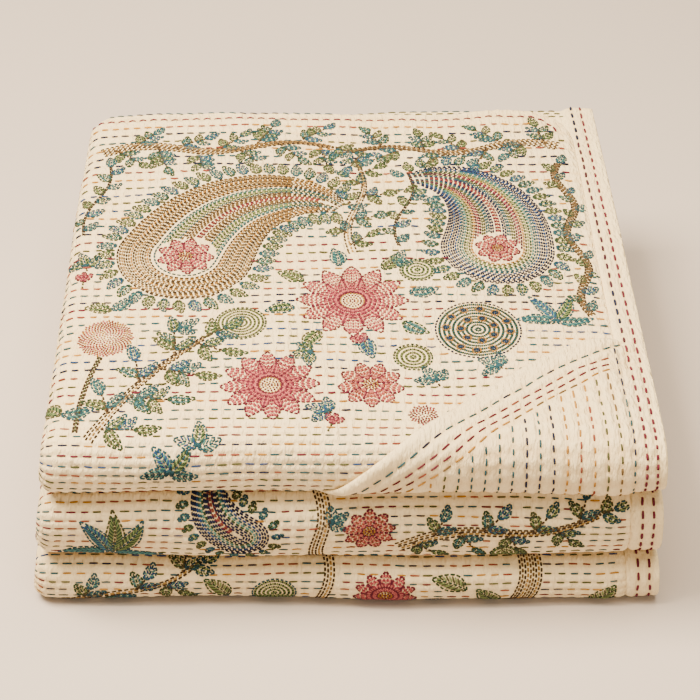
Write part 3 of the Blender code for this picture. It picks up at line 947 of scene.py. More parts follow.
def out_of_true(across, along, height):
    """Moves points of the true pile to where the soft, uneven cloth lies."""
    share = height / HEIGHT
    wide = across * (1 + FLARE * (1 - share))
    corner = np.clip(along - (BACK - CORNER_RADIUS), 0, CORNER_RADIUS)
    drawn = CORNER_RADIUS - np.sqrt(CORNER_RADIUS ** 2 - corner ** 2)
    wide += CORNER_DRAW * drawn * (np.abs(HALF - across) / PACK_WIDTH) ** CORNER_FADE
    wide -= LEAN * (1 - share)
    wave = sum(much * np.sin(turn * across + rise * height + start) for much, turn, rise, start in WAVES)
    near_end = np.clip(along / BACK, 0, None) ** 4
    long = along + WAVE * wave * (along / BACK) + between(END_SHIFT, across) * near_end
    droop = SIDE_DROOP * (across / HALF) ** 4 + END_DROOP * (along / BACK) ** 4
    droop += CORNER_DROOP * np.clip(-across / HALF, 0, None) ** 4 * near_end
    swell = sum(much * np.sin(turn * across + go * along + start) for much, turn, go, start in SWELLS)
    return np.stack([wide - CENTRE[0], long - CENTRE[1], height * (1 - droop + SWELL / HEIGHT * swell)], -1)


def placed(across, depth, run, first=0.0):
    """Points by place across, depth in the pack and place in the run; first is the top ply's share."""
    face_y, face_z, back_y, back_z = (np.interp(run, RUN, SIDES[:, axis]) for axis in range(4))
    along = blend(face_y, back_y, depth)
    height = blend(face_z, back_z, depth)
    travelled = np.clip(BACK - along, 0, None)
    near = np.clip(1 - travelled / HEM_REACH, 0, 1) * (run < 1)
    drawn = between(BACK_HEM, across) * near ** 2 + corner_draw(across, travelled) * (run < 1)
    return out_of_true(across, along - drawn * first, height)


def thickness_at(run):
    """The pack's thickness at places in the run."""
    face_y, face_z, back_y, back_z = (np.interp(run, RUN, SIDES[:, axis]) for axis in range(4))
    return np.hypot(back_y - face_y, back_z - face_z)


class Cut:
    """A cut through the sheet: its middle, its two sides, and how far along the sheet's width it is."""

    def __init__(self, middle, out, lift, width, band, sides="both"):
        self.middle, self.out, self.lift = middle, out, lift
        self.width, self.band, self.sides = width, band, sides


def border_level(across):
    """How deep in the pack the middle of the border's ply lies."""
    rise = smooth((across - HEM + 0.0050) / 0.0090)
    return blend(SECOND, BORDER_SECOND, rise) + 0.010 * smooth((across - HEM) / 0.018)


def hem_round(distance):
    """How thick a pressed hem is near its edge, as a share of the ply."""
    rounded = math.sqrt(max(1 - (1 - min(distance / HEM_ROUNDING, 1)) ** 2, 0))
    return rounded * blend(HEM_PRESSED, 1.0, float(smooth(distance / HEM_PRESSED_WIDTH)))


def bend_cuts(centre, levels, reach, steps, side, facing, band, width):
    """The cuts through a fold from one ply to another; facing is 1 where the face is outside."""
    middle, deep = sum(levels) / 2, (levels[1] - levels[0]) / 2
    sign = math.copysign(1, deep)
    found = []
    for step in range(1, steps):
        turn = math.pi * step / steps
        at = (centre + side * reach * math.sin(turn), middle - deep * math.cos(turn))
        out = (side * facing * SIDE_PLY / 2 * math.sin(turn), -sign * facing * PLY / 2 * math.cos(turn))
        lift = (side * facing * math.sin(turn), -sign * facing * math.cos(turn))
        found.append(Cut(at, out, lift, width - turn * SIDE_RADIUS, band))
    return found


def sheet_cuts():
    """All the cuts, from the first ply's hem round to the second's."""
    cuts = []
    edges = [0.0003, 0.0009, 0.0018, 0.0030, 0.0045]
    across = [HEM - edge for edge in edges]
    steps = int((across[-1] - LEFT) / COLUMN)
    across += list(np.linspace(across[-1], LEFT, steps + 1)[1:-1])
    for number, place in enumerate(across):
        whole = number in (0, 2, 4) or (number > 4 and (number - 4) % COARSE_EVERY == 0)
        half = PLY / 2 * hem_round(HEM - place)
        cuts.append(Cut((place, FIRST), (0, -half), (0, -1), place, "face", "both" if whole else "face"))
    cuts.append(Cut((LEFT, FIRST), (0, -PLY / 2), (0, -1), LEFT, "left"))
    outer = SIDE_RADIUS - SIDE_PLY / 2
    cuts += bend_cuts(LEFT, (FIRST, FOURTH), outer, 11, -1, 1, "left", LEFT)
    turned = LEFT_TURNED
    under = np.linspace(LEFT, RIGHT, 73)
    for number, place in enumerate(under[:-1]):
        whole = "both" if number % 12 == 0 else "face"
        cuts.append(Cut((place, FOURTH), (0, PLY / 2), (0, 1), turned - (place - LEFT), "under", whole))
    turned -= RIGHT - LEFT
    cuts.append(Cut((RIGHT, FOURTH), (0, PLY / 2), (0, 1), turned, "right"))
    right_reach = RIGHT_FOLD_RADIUS - SIDE_PLY / 2
    cuts += bend_cuts(RIGHT, (FOURTH, BORDER_THIRD), right_reach, 6, 1, 1, "right", turned)
    turned -= math.pi * RIGHT_FOLD_RADIUS
    for place, level in ((RIGHT, BORDER_THIRD), (HEM - 0.004, THIRD), (0.0, THIRD), (LEFT, THIRD)):
        cuts.append(Cut((place, level), (0, -PLY / 2), (0, -1), turned - (RIGHT - place), "inner"))
    turned -= RIGHT - LEFT
    cuts += bend_cuts(LEFT, (THIRD, SECOND), SIDE_PLY / 2 + INNER_AIR, 4, -1, -1, "inner", turned)
    for place in np.linspace(LEFT, HEM - 0.0050, 19):
        cuts.append(Cut((place, SECOND), (0, PLY / 2), (0, 1), turned - (place - LEFT), "inner"))
    border = [HEM - 0.0032, HEM - 0.0012, HEM + 0.0006, HEM + 0.0024]
    last = HALF - 0.0040
    border += list(np.linspace(border[-1], last, 9)[1:])
    border += [HALF - edge for edge in (0.0028, 0.0018, 0.0010, 0.0004)]
    for number, place in enumerate(border):
        level = float(border_level(place))
        half = PLY / 2 * hem_round(HALF - place)
        whole = "both" if number % 4 == 0 or place > HALF - 0.002 else "back"
        cuts.append(Cut((place, level), (0, half), (0, 1), turned - (place - LEFT), "border", whole))
    return cuts


def cloth_outline(cuts):
    """The closed outline: rows of numbers for each point, its bands, and where each cut's sides are."""
    points, bands, coarse, places = [], [], [], {}

    def add(key, cut, side, band):
        places[key] = len(points)
        out = [side * part for part in cut.out]
        lift = [side * part for part in cut.lift]
        points.append([*cut.middle, *out, *lift, cut.width])
        bands.append(band)
        coarse.append(cut.sides == "both")

    def tip(across, level, width, band):
        points.append([across, level, 0, 0, 0, 0, width])
        bands.append(band)
        coarse.append(True)
    for number, cut in enumerate(cuts):
        if cut.sides != "back":
            add((number, "face"), cut, 1, "inner" if cut.band == "border" else cut.band)
    end = cuts[-1]
    tip(HALF, end.middle[1], end.width - 0.0004, "border")
    for number in reversed(range(len(cuts))):
        cut = cuts[number]
        if cut.sides != "face":
            add((number, "back"), cut, -1, "border" if cut.band == "border" else "inner")
    tip(HEM, cuts[0].middle[1], HEM, "face")
    return np.array(points), bands, np.array(coarse), places


def row_stations(rows, end):
    """Places along the cloth from the first of some rows to the last, and on to an end."""
    along = []
    for near, far in zip(rows, rows[1:]):
        along += [blend(near, far, step / ROW_SAMPLES) for step in range(ROW_SAMPLES)]
    return along + list(np.linspace(rows[-1], end, 4)[:-1])


def stations():
    """Places in the run, each with its zone and whether it is a coarse one."""
    found = []

    def add(runs, zone, coarse):
        for number, run in enumerate(runs):
            found.append((run, zone, coarse(number)))
    along = [0.0, 0.0006, 0.0016, 0.0032, 0.0055] + row_stations(ROWS[:TOP_ROWS], NOSES[0][1])
    add(np.interp(along, FACE_ALONG, RUN), "top", lambda number: number < 8 or number % 24 == 0)
    nose = 1
    for start in range(2, 11):
        if start % 4 == 1:
            begin, end = NOSES[nose]
            along = [begin] + row_stations(ROWS[(ROWS > begin) & (ROWS < end)], end)
            add(np.interp(along, FACE_ALONG, RUN), "nose", lambda number: number % 10 == 0)
            nose += 1
        elif start % 4 == 3:
            low, high = np.interp([start, start + 1], RUN, BACK_ALONG)
            count = int((high - low) / NOSE_PITCH) * 4
            places = np.linspace(low, high, count + 1)[:-1]
            add(np.interp(places, BACK_ALONG, RUN), "turn", lambda number: number % 4 == 0)
        else:
            shares = np.arange(2 * HIDDEN_ROWS) / (2 * HIDDEN_ROWS)
            if start == 10:
                length = along_at(11) - along_at(10)
                ends = [1 - end / length for end in (0.0032, 0.0016, 0.0006, 0.0)]
                shares = np.concatenate([shares, ends])
            add(start + shares, "hidden", lambda number: number % 20 == 0 or number >= 2 * HIDDEN_ROWS)
    return found


# Which bands have fine columns in each zone.  They have fine stations too, but for the top's right edge.
FINE = {
    "top": ("face", "left", "right", "border"),
    "nose": ("face", "left", "right", "border"),
    "hidden": ("left",),
    "turn": ("left", "under", "right"),
}


class Patch:
    """A surface on which stitches lie: a grid of points, looked up by place."""

    def __init__(self, points, locate, outward):
        self.points, self.locate = points, locate
        ahead, aside = np.gradient(points, axis=1), np.gradient(points, axis=0)
        normals = np.cross(aside, ahead) * outward
        self.normals = normals / (np.linalg.norm(normals, axis=-1, keepdims=True) + 1e-12)

    def at(self, across, along):
        """Points and normals at places on the patch."""
        column, row = self.locate(across, along)
        column = np.clip(column, 0, self.points.shape[0] - 1.001)
        row = np.clip(row, 0, self.points.shape[1] - 1.001)
        left, near = column.astype(int), row.astype(int)
        x, y = (column - left)[:, None], (row - near)[:, None]
        found = []
        for grid in (self.points, self.normals):
            here = blend(grid[left, near], grid[left + 1, near], x)
            there = blend(grid[left, near + 1], grid[left + 1, near + 1], x)
            found.append(blend(here, there, y))
        normals = found[1] / (np.linalg.norm(found[1], axis=1, keepdims=True) + 1e-12)
        return found[0], normals


def band_range(bands, name):
    """The first and last outline places of a band."""
    found = [place for place, band in enumerate(bands) if band == name]
    return found[0], found[-1]


def spans(labels):
    """Stretches of equal labels, as (label, first, one past the last)."""
    found, start = [], 0
    for place in range(1, len(labels) + 1):
        if place == len(labels) or labels[place] != labels[start]:
            found.append((labels[start], start, place))
            start = place
    return found


def cloth_faces(bands, coarse_column, zones, coarse_station):
    """The faces of the cloth over its columns and stations; coarse ones take in their fine edges."""
    columns, rows = len(bands), len(zones)
    used = np.zeros((columns + 1, rows), bool)
    regions = []
    for band, first, last in spans(bands):
        for zone, start, end in spans(zones):
            end = min(end, rows - 1)
            fine_columns = band in FINE[zone]
            fine_rows = fine_columns and (band, zone) != ("right", "top")
            across = [
                place for place in range(first, last + 1)
                if fine_columns or coarse_column[place % columns] or place == last
            ]
            along = [
                place for place in range(start, end + 1)
                if fine_rows or coarse_station[place] or place == end
            ]
            used[np.ix_(across, along)] = True
            regions.append((across, along, fine_columns and fine_rows))
    used[0] |= used[columns]
    used[columns] = used[0]
    quads, others = [], []
    for across, along, fine in regions:
        if fine:
            left, near = np.meshgrid(across[:-1], along[:-1], indexing="ij")
            corners = [(left, near), (left + 1, near), (left + 1, near + 1), (left, near + 1)]
            corners = [(column % columns) * rows + row for column, row in corners]
            quads.append(np.stack(corners, -1).reshape(-1, 4))
            continue
        for a, b in zip(across, across[1:]):
            for c, d in zip(along, along[1:]):
                path = [(column, c) for column in range(a, b)] + [(b, row) for row in range(c, d)]
                path += [(column, d) for column in range(b, a, -1)] + [(a, row) for row in range(d, c, -1)]
                others.append([(column % columns) * rows + row for column, row in path if used[column, row]])
    return np.concatenate(quads).tolist() + others, used


def end_caps(cuts, places, used, rows):
    """The faces that close the plies at the two free ends."""
    faces = []
    whole = [number for number, cut in enumerate(cuts) if cut.sides == "both"]
    columns = len(used) - 1
    first_tip, second_tip = columns - 1, places[(len(cuts) - 1, "face")] + 1
    loops = [[first_tip, places[(0, "face")], places[(0, "back")]]]
    for near, far in zip(whole, whole[1:]):
        ahead = [(number, "face") for number in range(near, far + 1)]
        behind = [(number, "back") for number in range(far, near - 1, -1)]
        loops.append([places[key] for key in ahead + behind if key in places])
    last = whole[-1]
    loops.append([places[(last, "face")], second_tip, places[(last, "back")]])
    for row, flip in ((0, False), (rows - 1, True)):
        for loop in loops:
            loop = [column * rows + row for column in loop if used[column, row]]
            faces.append(loop[::-1] if flip else loop)
    return faces


def build_cloth():
    """The quilt's cloth: its mesh data, and the patches that the stitches lie on."""
    cuts = sheet_cuts()
    outline, bands, coarse_column, places = cloth_outline(cuts)
    listed = stations()
    runs = np.array([run for run, _, _ in listed])
    zones = [zone for _, zone, _ in listed]
    coarse_station = [coarse for _, _, coarse in listed]
    across, depth, out_across, out_depth, lift_across, lift_depth, width = outline.T
    along = along_at(runs)
    from_end = np.clip(np.minimum(along, along_at(11.0) - along) / HEM_LENGTH, 0, 1)
    full = HEM_END + (1 - HEM_END) * np.sqrt(np.clip(1 - (1 - from_end) ** 2, 0, 1))
    band = np.array(bands)
    on_face = (band == "face") | (band == "left")
    is_under = (band == "under") | (band == "right")
    first_columns = ((depth < FIRST + 0.03) & (across < HEM + 0.001)) & ~is_under & (band != "border")
    turned = (LEFT - width) / LEFT_TURN
    first = np.where(band == "left", np.clip(1 - turned, 0, 1) ** 2, first_columns)

    shape = (len(outline), len(runs))
    grid_width = np.broadcast_to(width[:, None], shape)
    grid_along = np.broadcast_to(along[None], shape)
    true_along = grid_along + corner_draw(grid_width, grid_along) * on_face[:, None]
    covered = np.zeros(shape)
    covered[on_face] = embroidered("face", grid_width[on_face], true_along[on_face])
    covered[on_face] = softened(covered[on_face])
    relief = np.zeros(shape)
    relief[on_face] = face_relief(grid_width[on_face], true_along[on_face], covered[on_face])

    hidden = np.array([zone in ("hidden", "turn") for zone in zones])
    zigzag = np.where(np.arange(len(runs)) % 2 == 0, -SIDE_TROUGH, 0.0) * hidden
    side_strength = np.sin(np.clip(turned, 0, 1) * math.pi)
    relief += np.where(band == "left", side_strength, 0)[:, None] * zigzag[None]
    back_along = back_along_at(runs)
    turning = np.array([zone == "turn" for zone in zones])
    quarter = np.zeros(len(runs), int)
    for zone, start, end in spans(zones):
        quarter[start:end] = np.arange(end - start) % 4
    turn_relief = np.choose(quarter, BACK_TROUGH) * turning
    relief += is_under[:, None] * turn_relief[None]
    under_lumps = lumps(grid_width, back_along[None] + 0 * grid_width, 0.014, 6)
    relief += is_under[:, None] * turning[None] * 0.0003 * under_lumps

    border = band == "border"
    on_front = np.array([zone in ("top", "nose") for zone in zones])
    border_relief = np.zeros(shape)
    border_relief[border] = border_height(across[border][:, None], grid_along[border])
    relief += border_relief * on_front[None]

    stray = np.where(on_face[:, None], drift(grid_width, grid_along), 0.0)
    stray *= smooth((HEM - across) / 0.02)[:, None]
    moved = np.where(np.abs(stray) > 1e-9, np.interp(grid_along + stray, FACE_ALONG, RUN), runs[None])
    tall = thickness_at(moved)
    wide = across[:, None] + out_across[:, None] * full[None] + relief * lift_across[:, None]
    deep = depth[:, None] + out_depth[:, None] * full[None] + relief * lift_depth[:, None] / tall
    points = placed(wide, deep, moved, first[:, None])

    faces, used = cloth_faces(bands, coarse_column, zones, coarse_station)
    faces += end_caps(cuts, places, used, len(runs))
    # How deep each point lies in a row's trough; the cotton paints shade there by this amount.
    hollow = np.clip(-relief / ROW_DEPTH, 0, 1)
    uv = np.stack([grid_width, np.broadcast_to(np.where(turning, back_along, along)[None], shape)], -1)
    patches = cloth_patches(points, outline, bands, runs, full)
    return points.reshape(-1, 3), faces, uv.reshape(-1, 2), hollow.ravel(), patches


def softened(grid):
    """A grid of shares, with each averaged with its neighbours."""
    for _ in range(2):
        padded = np.pad(grid, ((1, 1), (0, 0)), mode="edge")
        grid = ((padded[:-2] + 2 * grid + padded[2:]) / 4).T
    return grid


def border_row(number, along):
    """How far across the border's two rows lie: they draw towards the edge at the front."""
    share = smooth(along / 0.36)
    return HALF - blend((0.0170, 0.0100)[number], (0.0132, 0.0062)[number], share)


def border_height(across, along):
    """The border's relief: a trough along each of its rows."""
    relief = np.zeros(np.broadcast(across, along).shape)
    for number in (0, 1):
        away = (across - border_row(number, along)) / 0.0026
        relief -= 0.00085 * np.exp(-away ** 2)
    return relief + 0.00018 * lumps(across, along, 0.0055, 12)


def cloth_patches(points, outline, bands, runs, full):
    """The patches of the cloth that stitches lie on."""
    along, back_along = along_at(runs), back_along_at(runs)
    width = outline[:, 6]
    first, _ = band_range(bands, "face")
    _, last = band_range(bands, "left")
    face_width = width[first:last + 2]

    def on_face(across, place):
        column = np.interp(-across, -face_width, np.arange(len(face_width)))
        true = undrawn(np.clip(across, LEFT, HEM), place)
        return column, np.interp(np.where(place < HEM_REACH, true, place), along, np.arange(len(along)))
    patches = {"face": Patch(points[first:last + 2], on_face, 1)}

    first, last = band_range(bands, "border")
    across = outline[first:last + 1, 0]

    def on_border(place_across, place):
        column = np.interp(-place_across, -across, np.arange(len(across)))
        return column, np.interp(place, along, np.arange(len(along)))
    patches["border"] = Patch(points[first:last + 1], on_border, 1)

    first, _ = band_range(bands, "under")
    _, last = band_range(bands, "right")
    reverse_width = width[first:last + 1]

    def on_reverse(across, place):
        column = np.interp(-across, -reverse_width, np.arange(len(reverse_width)))
        return column, np.interp(place, back_along, np.arange(len(back_along)))
    patches["reverse"] = Patch(points[first:last + 1], on_reverse, 1)

    back = along < 0.02
    columns = np.linspace(LEFT, HEM, 60)
    deep = SECOND - PLY / 2 * full[back]
    flat = 0 * columns[:, None]
    second = placed(columns[:, None], deep[None] + flat, runs[back][None] + flat)

    def on_second(across, place):
        column = np.interp(across, columns, np.arange(len(columns)))
        return column, np.interp(place, along[back], np.arange(np.sum(back)))
    patches["second"] = Patch(second, on_second, -1)
    return patches


def mesh_object(name, points, faces, uv, uv_name="cloth", hollow=None):
    """A new smooth mesh object; uv and how hollow the cloth is are given for each point."""
    mesh = bpy.data.meshes.new(name)
    mesh.from_pydata(points.tolist(), [], faces)
    mesh.validate()
    made = bpy.data.objects.new(name, mesh)
    bpy.context.scene.collection.objects.link(made)
    mesh.shade_smooth()
    corners = np.zeros(len(mesh.loops), int)
    mesh.loops.foreach_get("vertex_index", corners)
    layer = mesh.uv_layers.new(name=uv_name)
    layer.data.foreach_set("uv", uv[corners].astype(np.float32).ravel())
    if hollow is not None:
        attribute = mesh.attributes.new("hollow", "FLOAT", "POINT")
        attribute.data.foreach_set("value", hollow.astype(np.float32))
    return made


def compact(points, faces, *others):
    """Keeps only the points that faces use."""
    kept = np.unique(np.fromiter((corner for face in faces for corner in face), int))
    number = np.zeros(len(points), int)
    number[kept] = np.arange(len(kept))
    return [points[kept], [number[face].tolist() for face in faces]] + [other[kept] for other in others]


def turned_outwards(points, faces):
    """Faces that point out of the closed mesh that they make."""
    volume = 0.0
    for face in faces:
        corners = points[face]
        normals = np.cross(corners[1:-1] - corners[0], corners[2:] - corners[0])
        volume += np.sum(normals @ corners[0])
    return faces if volume > 0 else [face[::-1] for face in faces]


# ---------------------------------------------------------------------------------------------
# The corner of the border that is turned over the top ply.
# ---------------------------------------------------------------------------------------------

FLAP_RIGHT = 0.1872         # where it has run down into the border
FLAP_FALL = 0.0320          # the width over which it does so
FLAP_SEAM = 0.1842          # from here it dips under the border, in the trough of the outer row
FLAP_HEIGHT = 0.0037
FLAP_TIP = 0.014            # the length over which its upper end thins out
FLAP_ROUND = 0.0050         # how far in from the free edge the sheet is rounded
FLAP_EDGE_HEIGHT = 0.0021   # the free edge over the cloth
FLAP_ROLL = (0.0009, 0.0060, 0.0042)    # the swelling beside it: height, place, width
FLAP_TIP_HEIGHT = 0.30      # the share of its height that is left at its upper end
FLAP_TUCK = (1.62, 0.30)    # where in the run the lower end turns in, and over how much of it
FLAP_EDGE_STEPS = (0.0, 0.0004, 0.0011, 0.0021, 0.0034, 0.0050, 0.0068, 0.0087, 0.0106, 0.0125)
FLAP_COLUMNS = 84
FLAP_UV_SHIFT = 0.5         # keeps its weave apart from that of the cloth below
FLAP_PITCH = 0.0017
FLAP_FAN = 0.0050           # how much nearer the free edge its slanting rows are at the front
FLAP_MEET = 0.0080          # and how much nearer at its upper end
FLAP_DIAGONALS = (          # the slanting rows' threads, and how far each row is from the free edge
    ("teal", "navy", 0.0150),
    ("crimson", "rust", 0.0234),
    ("crimson", "rust", 0.0294),
    ("amber", "ochre", 0.0346),
)
FLAP_ROWS = (
    ("amber", "olive"), ("olive", "amber"), ("teal", "green"), ("green", "teal"), ("teal",), ("teal",),
    ("teal", "navy"), ("navy",), ("navy", "teal"), ("navy",), ("amber",), ("amber", "rust"),
    ("rust", "amber"), ("olive",), ("olive", "ochre"), ("teal", "navy"),
)
FLAP_ROW_PITCH = 0.0083
FLAP_LAST_ROW = HALF - 0.0224
FLAP_DASH, FLAP_PERIOD, FRONT_PERIOD = 0.0066, 0.0098, 0.0068


def flap_slant(along):
    """How much nearer the free edge is squarely than straight across."""
    step = 0.004
    slope = (edge_at(along + step) - edge_at(along - step)) / (2 * step)
    return 1 / np.sqrt(1 + slope ** 2)


def flap_row(number, along):
    """How far across one of the flap's long rows lies."""
    share = smooth((along - CORNER_START) / 0.10)
    return FLAP_LAST_ROW - (len(FLAP_ROWS) - 1 - number) * FLAP_ROW_PITCH + 0.002 * share


def fanned(away, along):
    """How far one of the slanting rows is from the free edge at places along it."""
    share = (along - CORNER_START) / (CORNER_END - CORNER_START)
    return away - FLAP_FAN * smooth((share - 0.35) / 0.40) - FLAP_MEET * np.clip(1 - share / 0.16, 0, 1) ** 2


def flap_columns(along):
    """The flap's columns at places along it: how far each is from the free edge."""
    near = np.array(FLAP_EDGE_STEPS)
    width = FLAP_RIGHT - edge_at(along)
    share = np.arange(1, FLAP_COLUMNS + 1) / FLAP_COLUMNS
    far = near[-1] + (width[:, None] - near[-1]) * share[None]
    return np.concatenate([np.broadcast_to(near, (len(along), len(near))), far], 1)


def flap_relief(across, along, distance):
    """The troughs of the flap's rows and of the border's, and its puckers."""
    square = distance * flap_slant(along)
    relief = np.zeros(across.shape)
    for _, _, away in FLAP_DIAGONALS:
        relief -= 0.00110 * np.exp(-((square - fanned(away, along)) / 0.0024) ** 2)
    past = smooth((square - fanned(FLAP_DIAGONALS[-1][2], along) - 0.001) / 0.003)
    for number in range(len(FLAP_ROWS)):
        relief -= 0.00105 * past * np.exp(-((across - flap_row(number, along)) / 0.0024) ** 2)
    uneven = along + 0.002 * lumps(across, along, 0.02, 34)
    relief -= 0.00030 * past * np.cos(FULL_TURN * uneven / FLAP_PERIOD)
    relief += border_height(across, along) * smooth((across - FLAP_LAST_ROW) / 0.003)
    return relief + 0.00030 * lumps(across, along, 0.012, 32) + 0.00034 * lumps(across, along, 0.0048, 33)


def flap_ground(across):
    """How deep in the pack the surface under the turned corner lies."""
    return (border_level(across) - PLY / 2) * smooth((across - HEM + 0.0020) / 0.0060)


def build_flap():
    """The turned corner as a closed thin sheet, and the patch for its stitches."""
    along = np.arange(CORNER_START, CORNER_END, FLAP_PITCH)
    distance = flap_columns(along)
    across = edge_at(along)[:, None] + distance
    run = np.interp(along, FACE_ALONG, RUN)[:, None] + 0 * across
    along_grid = along[:, None] + 0 * across
    edge_share = np.clip(distance / FLAP_ROUND, 0, 1)
    rounding = np.sqrt(1 - (1 - edge_share) ** 2)
    roll = FLAP_ROLL[0] * np.exp(-((distance - FLAP_ROLL[1]) / FLAP_ROLL[2]) ** 2)
    down = smooth((across - FLAP_RIGHT + FLAP_FALL) / FLAP_FALL)
    tip = blend(FLAP_TIP_HEIGHT, 1.0, smooth((along_grid - CORNER_START) / FLAP_TIP))
    relief = flap_relief(across, along_grid, distance)
    height = (FLAP_HEIGHT + roll) * (1 - down) * tip + 0.0005
    height = blend(height, -0.0013, smooth((across - FLAP_SEAM) / (FLAP_RIGHT - FLAP_SEAM)))
    height = blend(FLAP_EDGE_HEIGHT * tip, height + relief, rounding)
    base = blend(0.0010, -0.0040, smooth((across - FLAP_RIGHT + 0.030) / 0.030))
    base = blend(FLAP_EDGE_HEIGHT * tip, base - 0.0004 * rounding, rounding)
    tuck = smooth((run - FLAP_TUCK[0]) / FLAP_TUCK[1])
    ended = smooth((CORNER_START + FLAP_ROUND - along_grid) / FLAP_ROUND)
    height = blend(blend(height, -0.0010, tuck), -0.0012, ended)
    base = np.minimum(blend(blend(base, -0.0028, tuck), -0.0030, ended), height - 0.0002)
    tall = thickness_at(run)
    ground = flap_ground(across)
    top = placed(across, ground - height / tall, run)
    under = placed(across, ground - base / tall, run)
    rows, columns = across.shape
    points = np.concatenate([top.reshape(-1, 3), under.reshape(-1, 3)])
    number = np.arange(rows * columns).reshape(rows, columns)
    corners = (number[:-1, :-1], number[:-1, 1:], number[1:, 1:], number[1:, :-1])
    upper = np.stack(corners, -1).reshape(-1, 4)
    offset = rows * columns
    faces = upper.tolist() + (upper[:, ::-1] + offset).tolist()
    rim = [*number[0], *number[1:, -1], *number[-1, -2::-1], *number[-2:0:-1, 0]]
    rim = [int(corner) for corner in rim]
    for here, there in zip(rim, rim[1:] + rim[:1]):
        faces.append([there, here, here + offset, there + offset])
    uv = np.tile(np.stack([across + FLAP_UV_SHIFT, along_grid], -1).reshape(-1, 2), (2, 1))
    # How deep each point lies in a row's trough; the cotton paints shade there by this amount.
    hollow = np.tile(np.clip(-relief / ROW_DEPTH, 0, 1).ravel(), 2)

    def on_flap(place_across, place):
        line = np.interp(place, along, np.arange(len(along)))
        away = place_across - edge_at(place)
        near = np.array(FLAP_EDGE_STEPS)
        width = FLAP_RIGHT - edge_at(place)
        inside_edge = np.interp(away, near, np.arange(len(near)))
        beyond = len(near) - 1 + (away - near[-1]) / (width - near[-1]) * FLAP_COLUMNS
        return line, np.where(away < near[-1], inside_edge, beyond)
    patch = Patch(top, on_flap, 1)
    return points, faces, uv, hollow, patch


# ---------------------------------------------------------------------------------------------
# The stitched rows.
# ---------------------------------------------------------------------------------------------

TOP_THREADS = (             # the first rows from the back, then on over and over
    ("crimson",), ("amber", "rust"), ("navy", "teal"), ("olive", "teal"), ("rust", "amber"),
    ("teal", "navy"), ("navy",), ("crimson", "rust"), ("rust", "amber"), ("olive", "teal"),
    ("teal", "blue"), ("olive", "amber"), ("teal", "blue"), ("amber", "olive"), ("blue", "teal"),
    ("navy", "teal"), ("rust", "crimson"), ("teal", "olive"),
)
SECOND_ROWS = ((0.0020, ("navy", "olive", "teal")), (0.0058, ("olive", "teal")), (0.0096, ("green", "olive")))
NOSE_THREADS = (
    ("teal", "rust", "navy", "amber"), ("rust", "amber", "teal", "crimson"), ("blue", "teal", "olive"),
    ("teal", "navy", "rust"), ("amber", "rust", "olive", "teal"), ("olive", "teal", "crimson"),
)


def dashes(
    centres, along, thread_cycle, run_lengths, patch, keep=True, upright=False, dash=DASH, width=FRONT_THREAD,
):
    """Stitches of one row, with threads that change after a few stitches."""
    length = dash * random.uniform(0.82, 1.14, len(centres))
    slip = random.normal(0, 0.00016, len(centres))
    tilt = random.normal(0, 0.00012, len(centres))
    names, number = [], int(random.integers(len(thread_cycle)))
    while len(names) < len(centres):
        names += [thread_cycle[number % len(thread_cycle)]] * int(random.integers(*run_lengths))
        number += 1
    names = np.array(names[:len(centres)])
    half = length / 2
    if upright:
        ends = np.stack([along + slip - tilt, centres - half, along + slip + tilt, centres + half], 1)
    else:
        ends = np.stack([centres - half, along + slip - tilt, centres + half, along + slip + tilt], 1)
    for thread in sorted(set(names)):
        add_stitches(patch, thread, ends[(names == thread) & keep], width * random.uniform(0.95, 1.08))


def under_flap(across, along):
    """Which places the turned corner covers."""
    edge = edge_at(np.clip(along, CORNER_START, CORNER_END))
    return (along > CORNER_START - 0.002) & (across > edge + 0.001)


def hem_row():
    """The row that follows the back hem and its rounded corner."""
    turn = np.radians(np.linspace(0, 78, 40))
    radius = HEM_CORNER_RADIUS - FIRST_ROW
    bend = HEM - HEM_CORNER_RADIUS
    straight = np.stack([np.linspace(LEFT_ROW_END, bend, 60), np.full(60, FIRST_ROW)], 1)
    arc = np.stack([np.sin(turn) * radius + bend, HEM_CORNER_RADIUS - np.cos(turn) * radius], 1)
    ends = running(np.concatenate([straight, arc[1:]]), DASH, PERIOD - DASH)
    add_stitches("face", "crimson", ends, ROW_THREAD)


def face_rows():
    """The running stitch over the whole face and round the left bend."""
    hem_row()
    for number, (place, shift) in enumerate(zip(ROWS, ROW_SHIFTS)):
        if number == 0:
            continue
        first = math.ceil((LEFT_ROW_END - shift) / PERIOD)
        last = math.floor((HEM - 0.0035 - shift) / PERIOD)
        centres = np.arange(first, last + 1) * PERIOD + shift
        centres = centres + random.normal(0, 0.00022, len(centres))
        along = np.full(len(centres), place)
        keep = ~embroidered("face", centres, along)
        past = np.hypot(centres - HEM + HEM_CORNER_RADIUS, along - HEM_CORNER_RADIUS)
        beyond = (centres > HEM - HEM_CORNER_RADIUS) & (along < HEM_CORNER_RADIUS)
        keep &= ~(beyond & (past > HEM_CORNER_RADIUS - FIRST_ROW - 0.0045))
        if place < TOP_REACH:
            keep &= ~under_flap(centres, along)
        cycles, lengths = (NOSE_THREADS, (1, 5)) if place > NOSES[0][0] else (TOP_THREADS, (5, 16))
        width = blend(ROW_THREAD, FRONT_THREAD, float(upright(place)))
        dashes(centres, along, cycles[number % len(cycles)], lengths, "face", keep, width=width)
    dashes(np.arange(LEFT - 0.010, -0.010, PERIOD), 0.0014, ("navy", "teal"), (3, 9), "face")


def second_rows():
    """The rows at the back end of the second ply, past the first ply's hem."""
    for place, cycle in SECOND_ROWS:
        dashes(np.arange(LEFT + 0.004, HEM - 0.010, PERIOD) + place, place, cycle, (3, 9), "second")


